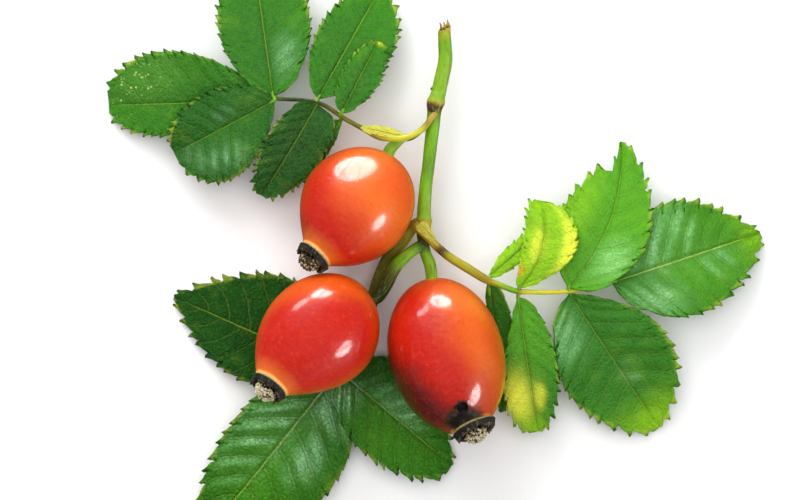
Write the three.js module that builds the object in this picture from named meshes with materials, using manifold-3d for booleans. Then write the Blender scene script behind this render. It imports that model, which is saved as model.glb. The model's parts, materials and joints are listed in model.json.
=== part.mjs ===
// A cut rose hip sprig lying on a flat surface: a green stem with two nodes, three ripe hips
// on their pedicels and three compound leaves. Millimetres, +Z up, surface at z = 0.
//
// Plan positions are laid out round the middle of the sprig, with the cut end towards +Y.
// The finished group is shifted at the end so that the origin is under its centre.

import * as THREE from 'three';
import { mergeVertices } from 'three/addons/utils/BufferGeometryUtils.js';
import Module from 'manifold-3d';

const wasm = await Module();
wasm.setup();

// ---- Driving dimensions ---------------------------------------------------------------

const JOINT_GAP = 0.25;          // between pieces that meet
const BLADE_THICKNESS = 0.62;
const LAYOUT_CENTRE = [5.5, 1.26]; // middle of the sprig's bounding box in the layout

const STEM_SIDES = 10;
const PEDICEL_SIDES = 8;
const RACHIS_SIDES = 6;
const HIP_SIDES = 24;
const HIP_RINGS = 12;
const CROWN_SIDES = 18;

const COLOURS = {
  stem: 0x7d9a3a,
  hip: 0xd5380f,
  crown: 0x2b211b,
  styles: 0xcfc4a4,
  leafUpper: 0x3f8a22,
  leafRight: 0x5a9a1f,
  leafLower: 0x2f7a24,
};

// Each hip: middle of its length, compass heading and upward tilt of its free end, radius of
// the flesh, its half-length on the stem's side, the length and the bluntness of its taper to
// the neck (half is round, more is pointed), how far the neck reaches from the middle, how far
// the bowed axis bulges sideways from the straight line, how much stouter the stem end is, and
// the radius of its crown.
const HIPS = {
  upper: {
    centre: [-7.55, 7.35, 8.95], heading: -125.5, tilt: 18.5, radius: 8.9, half: 9.95,
    taper: 11.2, point: 0.75, neck: 10.8, bulge: -0.65, egg: 0.02, crown: 2.95,
  },
  left: {
    centre: [-12.15, -14.15, 11.15], heading: -141, tilt: 22, radius: 8.95, half: 10.26,
    taper: 12.9, point: 0.75, neck: 11.95, bulge: 1, egg: 0.045, crown: 3.05,
  },
  right: {
    centre: [8.4, -16.6, 9.5], heading: -74.5, tilt: 19, radius: 9.2, half: 12.9,
    taper: 12.9, point: 0.5, neck: 12.6, bulge: 0.95, egg: 0.02, crown: 3.35,
  },
};
const NECK_RADIUS = 2.75;
const SHOULDER_RADIUS = 1.02;
const SHOULDER_REACH = 0.1;

const CROWN_FLOOR = 0.45;
const CROWN_HEIGHT = 0.95;
const CROWN_DRAW = 0.35;          // how much narrower the crown's lip is than its foot
const STYLES_RADIUS = 1.95;
const STYLES_HEIGHT = 1.7;

// ---- Solids ---------------------------------------------------------------------------

const UP = new THREE.Vector3(0, 0, 1);
const vec = ([x, y, z]) => new THREE.Vector3(x, y, z);

// A closed indexed mesh without repeated vertices or collapsed triangles.
function weld(geometry) {
  const bare = geometry.clone();
  bare.deleteAttribute('normal');
  bare.deleteAttribute('uv');
  const merged = mergeVertices(bare, 1e-4);
  const old = merged.getIndex().array;
  const kept = [];
  for (let i = 0; i < old.length; i += 3) {
    const [a, b, c] = [old[i], old[i + 1], old[i + 2]];
    if (a !== b && b !== c && c !== a) kept.push(a, b, c);
  }
  merged.setIndex(kept);
  return merged;
}

function toSolid(geometry) {
  const welded = weld(geometry);
  return new wasm.Manifold(new wasm.Mesh({
    numProp: 3,
    vertProperties: new Float32Array(welded.getAttribute('position').array),
    triVerts: new Uint32Array(welded.getIndex().array),
  }));
}

function toGeometry(solid) {
  const mesh = solid.getMesh();
  const geometry = new THREE.BufferGeometry();
  geometry.setAttribute('position', new THREE.BufferAttribute(mesh.vertProperties, 3));
  geometry.setIndex(new THREE.BufferAttribute(mesh.triVerts, 1));
  return geometry;
}

function union(solids) {
  return solids.reduce((whole, next) => whole.add(next));
}

// The largest piece of a solid, so that a cut leaves no loose scraps.
function largest(solid) {
  return solid.decompose().sort((a, b) => b.volume() - a.volume())[0];
}

// What lies above the surface that the sprig rests on.
function aboveSurface(solid) {
  return solid.trimByPlane([0, 0, 1], 0);
}

// A round stalk through stations [x, y, z, radius], closed by a flat cap at each end.
function stalk(stations, sides, extra = 0, stepsPerSpan = 2) {
  const curve = new THREE.CatmullRomCurve3(stations.map(vec), false, 'centripetal');
  const steps = (stations.length - 1) * stepsPerSpan;
  const positions = [];
  const index = [];
  for (let i = 0; i <= steps; i++) {
    const t = i / steps;
    const span = Math.min(Math.floor(i / stepsPerSpan), stations.length - 2);
    const radius = THREE.MathUtils.lerp(stations[span][3], stations[span + 1][3], i / stepsPerSpan - span);
    const tangent = curve.getTangent(t);
    const side = new THREE.Vector3().crossVectors(tangent, UP).normalize();
    const top = new THREE.Vector3().crossVectors(side, tangent);
    const centre = curve.getPoint(t);
    for (let k = 0; k < sides; k++) {
      const angle = (2 * Math.PI * k) / sides;
      const point = centre.clone();
      point.addScaledVector(side, Math.cos(angle) * (radius + extra));
      point.addScaledVector(top, Math.sin(angle) * (radius + extra));
      positions.push(point.x, point.y, point.z);
    }
  }
  for (let i = 0; i < steps; i++) {
    for (let k = 0; k < sides; k++) {
      const next = (k + 1) % sides;
      const [a, b] = [i * sides + k, i * sides + next];
      const [c, d] = [a + sides, b + sides];
      index.push(a, d, b, a, c, d);
    }
  }
  const last = steps * sides;
  for (let k = 1; k < sides - 1; k++) {
    index.push(0, k, k + 1);
    index.push(last, last + k + 1, last + k);
  }
  return toSolid(indexed(positions, index));
}

function indexed(positions, index) {
  const geometry = new THREE.BufferGeometry();
  geometry.setAttribute('position', new THREE.Float32BufferAttribute(positions, 3));
  geometry.setIndex(index);
  return geometry;
}

// ---- Hips -----------------------------------------------------------------------------

// Turns a shape standing along +Y to lie along a hip's axis, with its X level.
function hipPlacement({ centre, heading, tilt }) {
  const azimuth = THREE.MathUtils.degToRad(heading);
  const rise = THREE.MathUtils.degToRad(tilt);
  const level = new THREE.Vector3(Math.cos(azimuth), Math.sin(azimuth), 0);
  const axis = level.clone().multiplyScalar(Math.cos(rise)).addScaledVector(UP, Math.sin(rise));
  const side = new THREE.Vector3().crossVectors(level, UP);
  const top = new THREE.Vector3().crossVectors(side, axis);
  return new THREE.Matrix4().makeBasis(side, axis, top).setPosition(vec(centre));
}

// Where a hip's bowed axis lies to the side at a distance from its middle, and how it turns there.
function bow({ bulge, half }, distance) {
  const turn = Math.atan((2 * bulge * distance) / half ** 2);
  return { aside: bulge * (1 - (distance / half) ** 2), turn };
}

// A point on a hip's axis, at a distance from its middle.
function axisPoint(hip, distance) {
  const { aside } = bow(hip, distance);
  return new THREE.Vector3(aside, distance, 0).applyMatrix4(hipPlacement(hip)).toArray();
}

// Bends a shape that stands along +Y to a hip's axis and lays it in its place.
function layOnHip(geometry, hip) {
  const position = geometry.getAttribute('position');
  for (let i = 0; i < position.count; i++) {
    const [x, y] = [position.getX(i), position.getY(i)];
    const { aside, turn } = bow(hip, y);
    position.setXY(i, aside + x * Math.cos(turn), y + x * Math.sin(turn));
  }
  return toSolid(geometry.applyMatrix4(hipPlacement(hip)));
}

// Two radii run together smoothly, the larger one winning.
function blendRadii(a, b) {
  return Math.pow(Math.pow(a, 5) + Math.pow(b, 5), 1 / 5);
}

// An egg of flesh that draws in to the pedicel at -Y and tapers to the neck at +Y.
function fleshProfile({ half, taper, point, radius, neck, egg }) {
  const low = -half - SHOULDER_REACH;
  const profile = [new THREE.Vector2(0, low)];
  for (let i = 0; i <= HIP_RINGS; i++) {
    const swing = Math.PI * (i / HIP_RINGS);
    const middle = (neck + low) / 2;
    const y = middle - Math.cos(swing) * (neck - low) / 2;
    const [length, power] = y > 0 ? [taper, point] : [half, 0.5];
    const flesh = radius * Math.pow(Math.max(0, 1 - (y / length) ** 2), power) * (1 - (egg * y) / half);
    profile.push(new THREE.Vector2(blendRadii(flesh, y > 0 ? NECK_RADIUS : SHOULDER_RADIUS), y));
  }
  profile.push(new THREE.Vector2(0, neck));
  return profile;
}

function hipSolid(hip) {
  return aboveSurface(layOnHip(new THREE.LatheGeometry(fleshProfile(hip), HIP_SIDES), hip));
}

// The dried calyx: a low dark cup whose lip draws in a little and breaks up into sepal stubs.
function crownSolid(hip) {
  const base = hip.neck + JOINT_GAP;
  const lip = hip.crown - CROWN_DRAW;
  const outline = [
    [0, 0], [NECK_RADIUS, 0], [hip.crown, 0.15], [hip.crown, CROWN_FLOOR], [lip, CROWN_HEIGHT],
    [lip - 0.25, CROWN_HEIGHT], [STYLES_RADIUS + 0.2, CROWN_FLOOR], [0, CROWN_FLOOR],
  ];
  const dish = new THREE.LatheGeometry(outline.map(([r, y]) => new THREE.Vector2(r, base + y)), CROWN_SIDES);
  const position = dish.getAttribute('position');
  for (let i = 0; i < position.count; i++) {
    const [x, y, z] = [position.getX(i), position.getY(i), position.getZ(i)];
    const rim = Math.max(0, (y - base - CROWN_FLOOR) / (CROWN_HEIGHT - CROWN_FLOOR));
    const angle = Math.atan2(z, x);
    const ragged = 0.25 * Math.cos(5 * angle) + 0.15 * Math.sin(8 * angle + 1);
    const flare = 1 + 0.12 * rim * ragged;
    position.setXYZ(i, x * flare, y + rim * ragged, z * flare);
  }
  return layOnHip(dish, hip);
}

// The dried styles: a knobbly cushion that stands out of the crown.
function stylesSolid(hip) {
  const cushion = new THREE.SphereGeometry(1, 14, 5, 0, 2 * Math.PI, 0, Math.PI / 2);
  const base = hip.neck + JOINT_GAP + CROWN_FLOOR + JOINT_GAP;
  const position = cushion.getAttribute('position');
  const rim = [];
  for (let i = 0; i < position.count; i++) {
    const [x, y, z] = [position.getX(i), position.getY(i), position.getZ(i)];
    const angle = Math.atan2(z, x);
    const knob = 1 + 0.07 * Math.sin(5 * angle) * Math.sin(7 * y) * (1 - y);
    const wide = STYLES_RADIUS * knob;
    position.setXYZ(i, x * wide, base + Math.max(y, 0) * STYLES_HEIGHT * knob, z * wide);
    if (y < 1e-6) rim.push(i);
  }
  return layOnHip(closeBelow(cushion, rim, base), hip);
}

// Closes a dome with a fan of triangles from its lowest ring to the middle of its base.
function closeBelow(dome, ring, base) {
  const positions = Array.from(dome.getAttribute('position').array);
  const index = Array.from(dome.getIndex().array);
  const middle = positions.length / 3;
  positions.push(0, base, 0);
  for (let i = 0; i < ring.length - 1; i++) index.push(ring[i + 1], ring[i], middle);
  return indexed(positions, index);
}

// ---- Leaves ---------------------------------------------------------------------------

const TEETH_START = 0.14;
const TEETH_END = 0.97;
const TOOTH_DEPTH = 0.75;
const FOLD_ROUND = 0.5;
const INNER_ROW = 0.55;
const INNER_POINTS = 7;
const RIB_POINTS = 8;

// How far a half of a blade reaches from its midrib at fraction s of its length. A half is its
// greatest reach, where along the length that lies, and how pointed it is (low is blunt).
function reach(s, [most, belly, point]) {
  const root = (point * belly) / (1 - belly);
  return most * Math.pow(s / belly, root) * Math.pow((1 - s) / (1 - belly), point);
}

// The edge of one half as [s, y] pairs: smooth near the base, then teeth that point forward.
function toothedEdge(half, teeth) {
  const edge = [0.012, 0.045, 0.09].map((s) => [s, reach(s, half)]);
  const pitch = (TEETH_END - TEETH_START) / teeth;
  for (let i = 0; i < teeth; i++) {
    const notch = TEETH_START + i * pitch;
    const point = notch + 0.9 * pitch;
    const depth = Math.min(TOOTH_DEPTH, 0.3 * reach(notch, half));
    edge.push([notch, reach(notch, half) - 0.75 * depth]);
    edge.push([point, reach(point, half) + 0.25 * depth]);
  }
  return edge;
}

// Triangles between two rows of vertices that both run from base to tip.
function zip(outer, inner, flip) {
  const triangles = [];
  let [i, j] = [0, 0];
  while (i < outer.length - 1 || j < inner.length - 1) {
    const outerNext = i < outer.length - 1 ? outer[i + 1].s : Infinity;
    const innerNext = j < inner.length - 1 ? inner[j + 1].s : Infinity;
    const [a, b] = [outer[i], inner[j]];
    const c = outerNext <= innerNext ? outer[++i] : inner[++j];
    const corners = flip ? [a.id, c.id, b.id] : [a.id, b.id, c.id];
    if (new Set(corners).size === 3) triangles.push(corners);
  }
  return triangles;
}

// A closed toothed blade from `base` to `tip`, with a `left` and a `right` half. `roll` turns it
// about its midrib, `fold` raises both halves, `arch` lifts the middle, `curl` drops the edges,
// `wave` ripples them and `sweep` bows the midrib to the left. Where the blade would reach below
// the surface it lies along it.
function leaflet(given) {
  const blade = { teeth: 12, roll: 0, fold: 9, arch: 1, curl: 0.6, wave: 0.2, sweep: 0, ...given };
  const [base, tip] = [vec(blade.base), vec(blade.tip)];
  const length = base.distanceTo(tip);
  const along = tip.clone().sub(base).normalize();
  const across = new THREE.Vector3().crossVectors(UP, along).normalize();
  across.applyAxisAngle(along, THREE.MathUtils.degToRad(blade.roll));
  const normal = new THREE.Vector3().crossVectors(along, across);
  const slope = Math.tan(THREE.MathUtils.degToRad(blade.fold));
  const surface = (s, y, edge) => {
    const bow = 4 * s * (1 - s);
    const t = y / edge;
    const ripple = Math.sin(14 * s + (t > 0 ? 0 : 2));
    const crease = slope * (Math.hypot(y, FOLD_ROUND) - FOLD_ROUND);
    const lift = blade.arch * bow + crease + t * t * (blade.wave * ripple - blade.curl * bow);
    const point = base.clone().addScaledVector(along, length * s);
    return point.addScaledVector(across, y + blade.sweep * bow).addScaledVector(normal, lift);
  };
  const points = [];
  const place = (s, y, edge) => {
    points.push(surface(s, y, edge));
    return { s, id: points.length - 1 };
  };
  const start = place(0, 0, 1);
  const end = place(1, 0, 1);
  const rib = [start];
  for (let i = 1; i < RIB_POINTS - 1; i++) rib.push(place(i / (RIB_POINTS - 1), 0, 1));
  rib.push(end);
  const face = [];
  const rims = [1, -1].map((side) => {
    const half = side > 0 ? blade.left : blade.right;
    const inner = [start];
    for (let i = 1; i <= INNER_POINTS; i++) {
      const s = i / (INNER_POINTS + 1);
      inner.push(place(s, side * INNER_ROW * reach(s, half), reach(s, half)));
    }
    inner.push(end);
    const edge = toothedEdge(half, blade.teeth);
    const outer = [start, ...edge.map(([s, y]) => place(s, side * y, Math.max(reach(s, half), 0.2))), end];
    face.push(...zip(outer, inner, side < 0), ...zip(inner, rib, side < 0));
    return outer;
  });
  return toSolid(thicken(points, face, rims));
}

// Gives a surface its thickness: the same triangles above and below, and a wall round the edge.
function thicken(points, face, [left, right]) {
  const half = BLADE_THICKNESS / 2;
  const positions = [];
  points.forEach((p) => positions.push(p.x, p.y, Math.max(p.z + half, BLADE_THICKNESS)));
  points.forEach((p) => positions.push(p.x, p.y, Math.max(p.z - half, 0)));
  const below = points.length;
  const index = [];
  face.forEach(([a, b, c]) => {
    index.push(a, b, c);
    index.push(a + below, c + below, b + below);
  });
  const rim = [...left, ...right.slice(1, -1).reverse()].map((p) => p.id);
  rim.forEach((a, i) => {
    const b = rim[(i + 1) % rim.length];
    index.push(a, b, b + below, a, b + below, a + below);
  });
  return indexed(positions, index);
}

// ---- Where everything lies ---------------------------------------------------------------

const SHOULDER = 0.95; // radius of a pedicel where it meets the flesh

const MAIN_STEM = [
  [7.12, 36.4, 4.9, 1.05], [7.25, 30.4, 5.2, 1.12], [6.2, 25.2, 5.7, 1.2], [5.75, 23.6, 5.95, 1.44],
  [5.48, 22.2, 6.0, 1.16], [4.9, 16.5, 6.1, 1.04], [4.15, 10.4, 6.2, 1.0], [3.9, 5.6, 6.2, 1.14],
  [3.8, 4.7, 6.2, 1.4], [3.8, 3.6, 6.2, 1.22], [3.85, 1.4, 6.2, 1.05], [3.95, 0.1, 6.1, 0.8],
];
const CUT = { point: [7.0, 35.4, 5], normal: [-0.45, 1, 0.3] };
const BUD = { centre: [5.0, 22.8, 6.9], size: [0.55, 0.85, 0.5], turn: 0.4 };
const PRICKLE = { centre: [5.35, 25.95, 5.9], radius: 0.42, length: 1.3, turn: 1.9 };

const PEDICELS = {
  upper: [
    [5.3, 21.7, 6.0, 0.5], [3.1, 18.95, 5.6, 0.5], [1.75, 18.1, 5.5, 0.56], [0.6, 17.9, 5.4, 0.65],
    [-0.45, 17.2, 5.4, 0.8],
  ],
  left: [
    [3.7, 0.9, 6.2, 0.9], [1.5, -0.5, 6.3, 0.92], [0.0, -1.8, 6.4, 1.0], [-1.2, -3.5, 6.5, 1.06],
    [-2.1, -5.3, 6.5, 1.08],
  ],
  right: [[3.8, 0.9, 6.2, 0.9], [4.6, -1.8, 5.7, 0.95], [4.95, -3.2, 5.3, 0.95]],
};

const LEAF_UPPER = {
  rachis: [
    [5.1, 21.1, 7.1, 0.55], [3.2, 19.0, 7.6, 0.5], [1.6, 18.15, 7.8, 0.48], [-0.4, 17.8, 7.8, 0.52],
    [-3.2, 18.0, 7.6, 0.5], [-5.6, 19.2, 7.6, 0.42], [-8.9, 21.0, 7.5, 0.36], [-13.1, 23.5, 7.3, 0.34],
    [-20.0, 24.2, 6.9, 0.31],
  ],
  leaflets: [
    { base: [-20.4, 24.1, 6.1], tip: [-46.9, 23.4, 0.7], left: [5.2, 0.66, 0.5],
      right: [8.5, 0.59, 0.55], roll: -8 },
    { base: [-20.3, 24.6, 6.8], tip: [-23.6, 48.0, 3.5], left: [7.2, 0.5, 0.7], right: [7.6, 0.47, 0.65] },
    { base: [-20.1, 23.9, 7.3], tip: [-36.2, 15.6, 4.6], left: [7.9, 0.62, 0.48],
      right: [6.3, 0.48, 0.55], roll: -8 },
    { base: [-13.1, 24.2, 7.0], tip: [-3.2, 41.9, 3.4], left: [5.4, 0.5, 0.6], right: [6.9, 0.55, 0.7] },
    { base: [-13.3, 23.3, 7.0], tip: [-22.2, 8.8, 4.3], left: [5.2, 0.36, 0.48],
      right: [4.3, 0.42, 0.5], roll: -12 },
    { base: [-9.3, 21.9, 8.0], tip: [-3.5, 33.3, 7.1], left: [2.9, 0.45, 0.6],
      right: [3.3, 0.55, 0.5], teeth: 10 },
    { base: [-9.5, 20.7, 5.9], tip: [-14.9, 11.5, 2.0], left: [0.8, 0.4, 0.6],
      right: [2.6, 0.5, 0.5], teeth: 8 },
  ],
  stipule: { base: [1.2, 17.8, 7.8], tip: [-6.3, 19.4, 7.6], left: [1.0, 0.5, 0.5], right: [0.9, 0.5, 0.5] },
};

const LEAF_RIGHT = {
  rachis: [
    [2.5, 4.7, 7.4, 0.75], [4.3, 2.7, 7.9, 0.72], [6.3, 0.1, 7.8, 0.68], [7.9, -1.1, 7.6, 0.7],
    [10.9, -3.0, 7.3, 0.72], [14.0, -4.8, 7.1, 0.62], [18.7, -6.6, 6.8, 0.46], [27.0, -6.6, 6.4, 0.38],
    [33.4, -5.2, 6.2, 0.32],
  ],
  leaflets: [
    { base: [33.9, -5.2, 6.0], tip: [57.9, 2.7, 0.7], left: [9.4, 0.45, 1.0], right: [9.2, 0.43, 0.8] },
    { base: [26.9, -6.1, 6.6], tip: [35.4, 17.3, 4.6], left: [7.8, 0.42, 1.3],
      right: [6.8, 0.37, 0.68], sweep: -2.6 },
    { base: [27.2, -7.0, 5.6], tip: [41.7, -28.6, 0.7], left: [9.5, 0.52, 0.85],
      right: [9.0, 0.46, 0.72], roll: 6 },
    { base: [19.0, -6.1, 7.2], tip: [22.4, 7.8, 7.6], left: [3.3, 0.6, 0.4],
      right: [5.5, 0.64, 0.42], sweep: -2.1, teeth: 9 },
    { base: [18.9, -7.5, 6.6], tip: [22.1, -29.1, 2.9], left: [4.7, 0.5, 0.55],
      right: [4.4, 0.66, 0.5], roll: 5 },
    { base: [14.4, -4.2, 6.4], tip: [23.2, 3.5, 5.8], left: [1.6, 0.5, 0.6],
      right: [1.6, 0.45, 0.6], teeth: 7 },
    { base: [14.2, -5.6, 5.8], tip: [16.3, -26.0, 0.6], left: [2.8, 0.35, 0.6],
      right: [1.2, 0.4, 0.7], roll: 14, arch: -1.8 },
  ],
  stipule: { base: [6.7, 0.2, 8.3], tip: [3.3, 4.8, 8.6], left: [1.35, 0.84, 0.2], right: [1.2, 0.84, 0.2] },
};

const LEAF_LOWER = {
  rachis: [
    [3.0, 4.4, 5.5, 0.95], [1.9, 3.5, 5.1, 1.0], [0.3, 1.3, 4.4, 1.03], [-1.45, -0.6, 3.8, 1.06],
    [-3.2, -4.3, 3.2, 1.06], [-4.4, -8.2, 2.9, 1.0], [-5.9, -12.8, 2.7, 0.8], [-8.0, -17.3, 2.6, 0.7],
    [-9.7, -19.2, 2.5, 0.55],
  ],
  leaflets: [
    { base: [-10.2, -19.2, 1.7], tip: [-36.4, -7.6, 0.4], left: [7.8, 0.45, 0.95], right: [10.4, 0.4, 1.05],
      roll: 4, fold: 0, arch: 0, curl: 0.2, wave: 0.1 },
    { base: [-10.4, -20.0, 2.2], tip: [-30.4, -44.8, 0.4], left: [10.9, 0.45, 0.75],
      right: [8.3, 0.45, 0.55], roll: -5, teeth: 14 },
    { base: [-9.8, -19.5, 2.8], tip: [8.3, -34.7, 1.0], left: [8.0, 0.38, 0.9], right: [7.6, 0.47, 0.52],
      roll: -9, fold: 5, arch: 0.3 },
  ],
};

// ---- The sprig ------------------------------------------------------------------------

// A pedicel runs into the hip along its axis and stops just short of the flesh.
function pedicelStations(name) {
  const hip = HIPS[name];
  const end = -hip.half - SHOULDER_REACH - JOINT_GAP;
  return [...PEDICELS[name], [...axisPoint(hip, end - 1.3), SHOULDER], [...axisPoint(hip, end), SHOULDER]];
}

// The bud in the axil of the upper node, an egg pressed against the stem.
function budSolid() {
  const bud = new THREE.SphereGeometry(1, 10, 6).scale(...BUD.size);
  return toSolid(bud.rotateZ(BUD.turn).translate(...BUD.centre));
}

// A prickle, a small cone that leans back down the stem.
function prickleSolid() {
  const thorn = new THREE.ConeGeometry(PRICKLE.radius, PRICKLE.length, 8);
  return toSolid(thorn.rotateZ(PRICKLE.turn).translate(...PRICKLE.centre));
}

// The stem with its pedicels, `extra` thicker all round; the cut end is slanted.
function stemSolid(extra) {
  const pedicels = Object.keys(PEDICELS).map((name) => stalk(pedicelStations(name), PEDICEL_SIDES, extra));
  const main = stalk(MAIN_STEM, STEM_SIDES, extra);
  const away = vec(CUT.normal).normalize();
  const cut = main.trimByPlane(away.clone().negate().toArray(), -away.dot(vec(CUT.point)));
  return union([cut, ...pedicels, budSolid(), prickleSolid()]);
}

// The short stalk that carries a leaflet, from the nearest point of the rachis into the blade.
function petiolule(rachis, { base, tip }) {
  const curve = new THREE.CatmullRomCurve3(rachis.map(vec), false, 'centripetal');
  const foot = vec(base);
  const root = curve.getPoints(80).sort((a, b) => a.distanceTo(foot) - b.distanceTo(foot))[0];
  const inside = foot.clone().addScaledVector(vec(tip).sub(foot).normalize(), 1.4);
  return stalk([[...root.toArray(), 0.36], [...base, 0.34], [...inside.toArray(), 0.3]], RACHIS_SIDES);
}

function frondSolid({ rachis, leaflets, stipule }, socket) {
  const parts = [stalk(rachis, RACHIS_SIDES)];
  for (const blade of leaflets) parts.push(leaflet(blade), petiolule(rachis, blade));
  if (stipule) parts.push(leaflet({ ...stipule, teeth: 3, arch: 0, fold: 0, curl: 0, wave: 0 }));
  return largest(union(parts).subtract(socket));
}

const sprig = new THREE.Group();

function add(name, solid, colour, roughness) {
  const material = new THREE.MeshStandardMaterial({ color: colour, roughness, metalness: 0 });
  const mesh = new THREE.Mesh(toGeometry(solid), material);
  mesh.name = name;
  sprig.add(mesh);
}

add('stem', stemSolid(0), COLOURS.stem, 0.5);

for (const [name, hip] of Object.entries(HIPS)) {
  add(`hip_${name}`, hipSolid(hip), COLOURS.hip, 0.25);
  add(`crown_${name}`, crownSolid(hip), COLOURS.crown, 0.9);
  add(`styles_${name}`, stylesSolid(hip), COLOURS.styles, 0.9);
}

const socket = stemSolid(JOINT_GAP);
add('leaf_upper', frondSolid(LEAF_UPPER, socket), COLOURS.leafUpper, 0.5);
add('leaf_right', frondSolid(LEAF_RIGHT, socket), COLOURS.leafRight, 0.5);
add('leaf_lower', frondSolid(LEAF_LOWER, socket), COLOURS.leafLower, 0.5);

sprig.position.set(-LAYOUT_CENTRE[0], -LAYOUT_CENTRE[1], 0);

export default sprig;
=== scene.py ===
# %% [markdown]
# A rose hip sprig lies on a pale table: a green stem with two nodes, three ripe hips on their
# pedicels, each with its dried crown, and three compound leaves. The packed model is the frame:
# it says where every piece goes. Each of its nodes is replaced by a finer piece in the same
# place, because leaves, skins and stalks live from detail that a frame doesn't need.

# %% The frame
import json
import math

import bpy
import numpy as np
from mathutils import Matrix, Vector

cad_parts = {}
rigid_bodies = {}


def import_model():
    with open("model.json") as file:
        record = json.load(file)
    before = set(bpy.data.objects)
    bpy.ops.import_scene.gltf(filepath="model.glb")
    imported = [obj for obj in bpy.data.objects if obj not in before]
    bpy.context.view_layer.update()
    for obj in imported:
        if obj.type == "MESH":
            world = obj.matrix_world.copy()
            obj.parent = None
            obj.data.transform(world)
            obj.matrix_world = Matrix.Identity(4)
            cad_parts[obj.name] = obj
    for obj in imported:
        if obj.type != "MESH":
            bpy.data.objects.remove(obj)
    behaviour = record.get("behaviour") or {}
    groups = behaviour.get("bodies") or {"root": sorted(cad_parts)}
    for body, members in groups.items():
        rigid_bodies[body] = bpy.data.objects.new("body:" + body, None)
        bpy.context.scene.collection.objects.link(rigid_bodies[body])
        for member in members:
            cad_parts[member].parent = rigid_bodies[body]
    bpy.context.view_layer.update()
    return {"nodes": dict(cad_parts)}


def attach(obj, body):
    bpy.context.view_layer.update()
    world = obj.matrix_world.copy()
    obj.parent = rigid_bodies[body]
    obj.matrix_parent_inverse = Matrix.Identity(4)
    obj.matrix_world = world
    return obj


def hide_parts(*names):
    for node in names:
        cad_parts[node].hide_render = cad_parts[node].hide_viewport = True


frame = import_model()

print("frame nodes:", ", ".join(sorted(frame["nodes"])))

# %% [markdown]
# Sizes are in millimetres in a plan whose middle lies a little beside the sprig's own middle.
# One helper brings plan points to metres in the frame. The others wrap what every piece needs:
# a clean selection before an operator, its points as an array, and the hand-over at the end.
# Points could also be moved one at a time, but an array of them takes a formula in one go.

# %% The plan and the points of a piece
MM = 0.001
PLAN_MIDDLE = np.array([5.5, 1.26, 0.0])
MERGE_REACH = 0.004 * MM


def metres(points):
    return (np.asarray(points, float) - PLAN_MIDDLE) * MM


def nothing_selected():
    if bpy.context.object and bpy.context.object.mode != "OBJECT":
        bpy.ops.object.mode_set(mode="OBJECT")
    bpy.ops.object.select_all(action="DESELECT")


def points_of(piece):
    flat = np.empty(3 * len(piece.data.vertices), np.float32)
    piece.data.vertices.foreach_get("co", flat)
    return flat.reshape(-1, 3).astype(float)


def move_points(piece, points):
    piece.data.vertices.foreach_set("co", np.asarray(points, np.float32).ravel())
    piece.data.update()


def note(piece, label, values):
    """Stores a vector at every point, which a finish can read."""
    layer = piece.data.attributes.new(label, "FLOAT_VECTOR", "POINT")
    layer.data.foreach_set("vector", np.asarray(values, np.float32).ravel())


def round_axis(angle, radius, along):
    """Points round the Y axis, at an angle, a radius and a place along it."""
    return np.column_stack([np.cos(angle) * radius, along, np.sin(angle) * radius])


print("the plan's middle lies at", PLAN_MIDDLE[:2], "mm")


# %% Selecting, editing and handing over
def choose(piece):
    """Makes a piece the only one selected, and the active one."""
    nothing_selected()
    bpy.context.view_layer.objects.active = piece
    piece.select_set(True)


def edit(piece, *steps):
    """Runs edit-mode operators on all of a piece."""
    choose(piece)
    bpy.ops.object.mode_set(mode="EDIT")
    bpy.ops.mesh.select_all(action="SELECT")
    for step in steps:
        step()
    bpy.ops.object.mode_set(mode="OBJECT")


def merge_close():
    bpy.ops.mesh.remove_doubles(threshold=MERGE_REACH)


def face_out():
    bpy.ops.mesh.normals_make_consistent(inside=False)


def apply_modifier(piece, kind, **settings):
    choose(piece)
    modifier = piece.modifiers.new(kind.title(), kind)
    for setting, value in settings.items():
        setattr(modifier, setting, value)
    bpy.ops.object.modifier_apply(modifier=modifier.name)


def smooth(piece):
    choose(piece)
    bpy.ops.object.shade_smooth()


def hand_over(piece, name, finishes, node):
    piece.name = name
    piece.data.materials.clear()
    for finish in finishes:
        piece.data.materials.append(finish)
    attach(piece, "root")
    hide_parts(node)
    print(name, "has", len(piece.data.polygons), "faces")


def lying_ball(segments, rings):
    """A ball of unit radius with its poles on the Y axis."""
    nothing_selected()
    lying = (-math.pi / 2, 0, 0)
    bpy.ops.mesh.primitive_uv_sphere_add(segments=segments, ring_count=rings, radius=1, rotation=lying)
    bpy.ops.object.transform_apply(location=True, rotation=True, scale=True)
    return bpy.context.object


def joined(pieces):
    """One piece out of several; the first gives it its name."""
    nothing_selected()
    for piece in pieces:
        piece.select_set(True)
    bpy.context.view_layer.objects.active = pieces[0]
    bpy.ops.object.join()
    return pieces[0]


print("points are merged when closer than", MERGE_REACH / MM, "mm")

# %% [markdown]
# A finish is a node tree, and most of its nodes are sums. A wire wraps one socket, so that a
# sum of wires adds the Math nodes, and one method adds any other node. That keeps the recipe
# of a skin or a leaf readable as a few lines of arithmetic.

# %% Wires
def paint(red, green, blue):
    """A colour as a paint program shows it, 0 to 255, for a socket that works in linear light."""
    shown = [c / 255 for c in (red, green, blue)]
    linear = [((c + 0.055) / 1.055) ** 2.4 if c > 10 / 255 else c / 12.92 for c in shown]
    return (*linear, 1.0)


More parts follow.
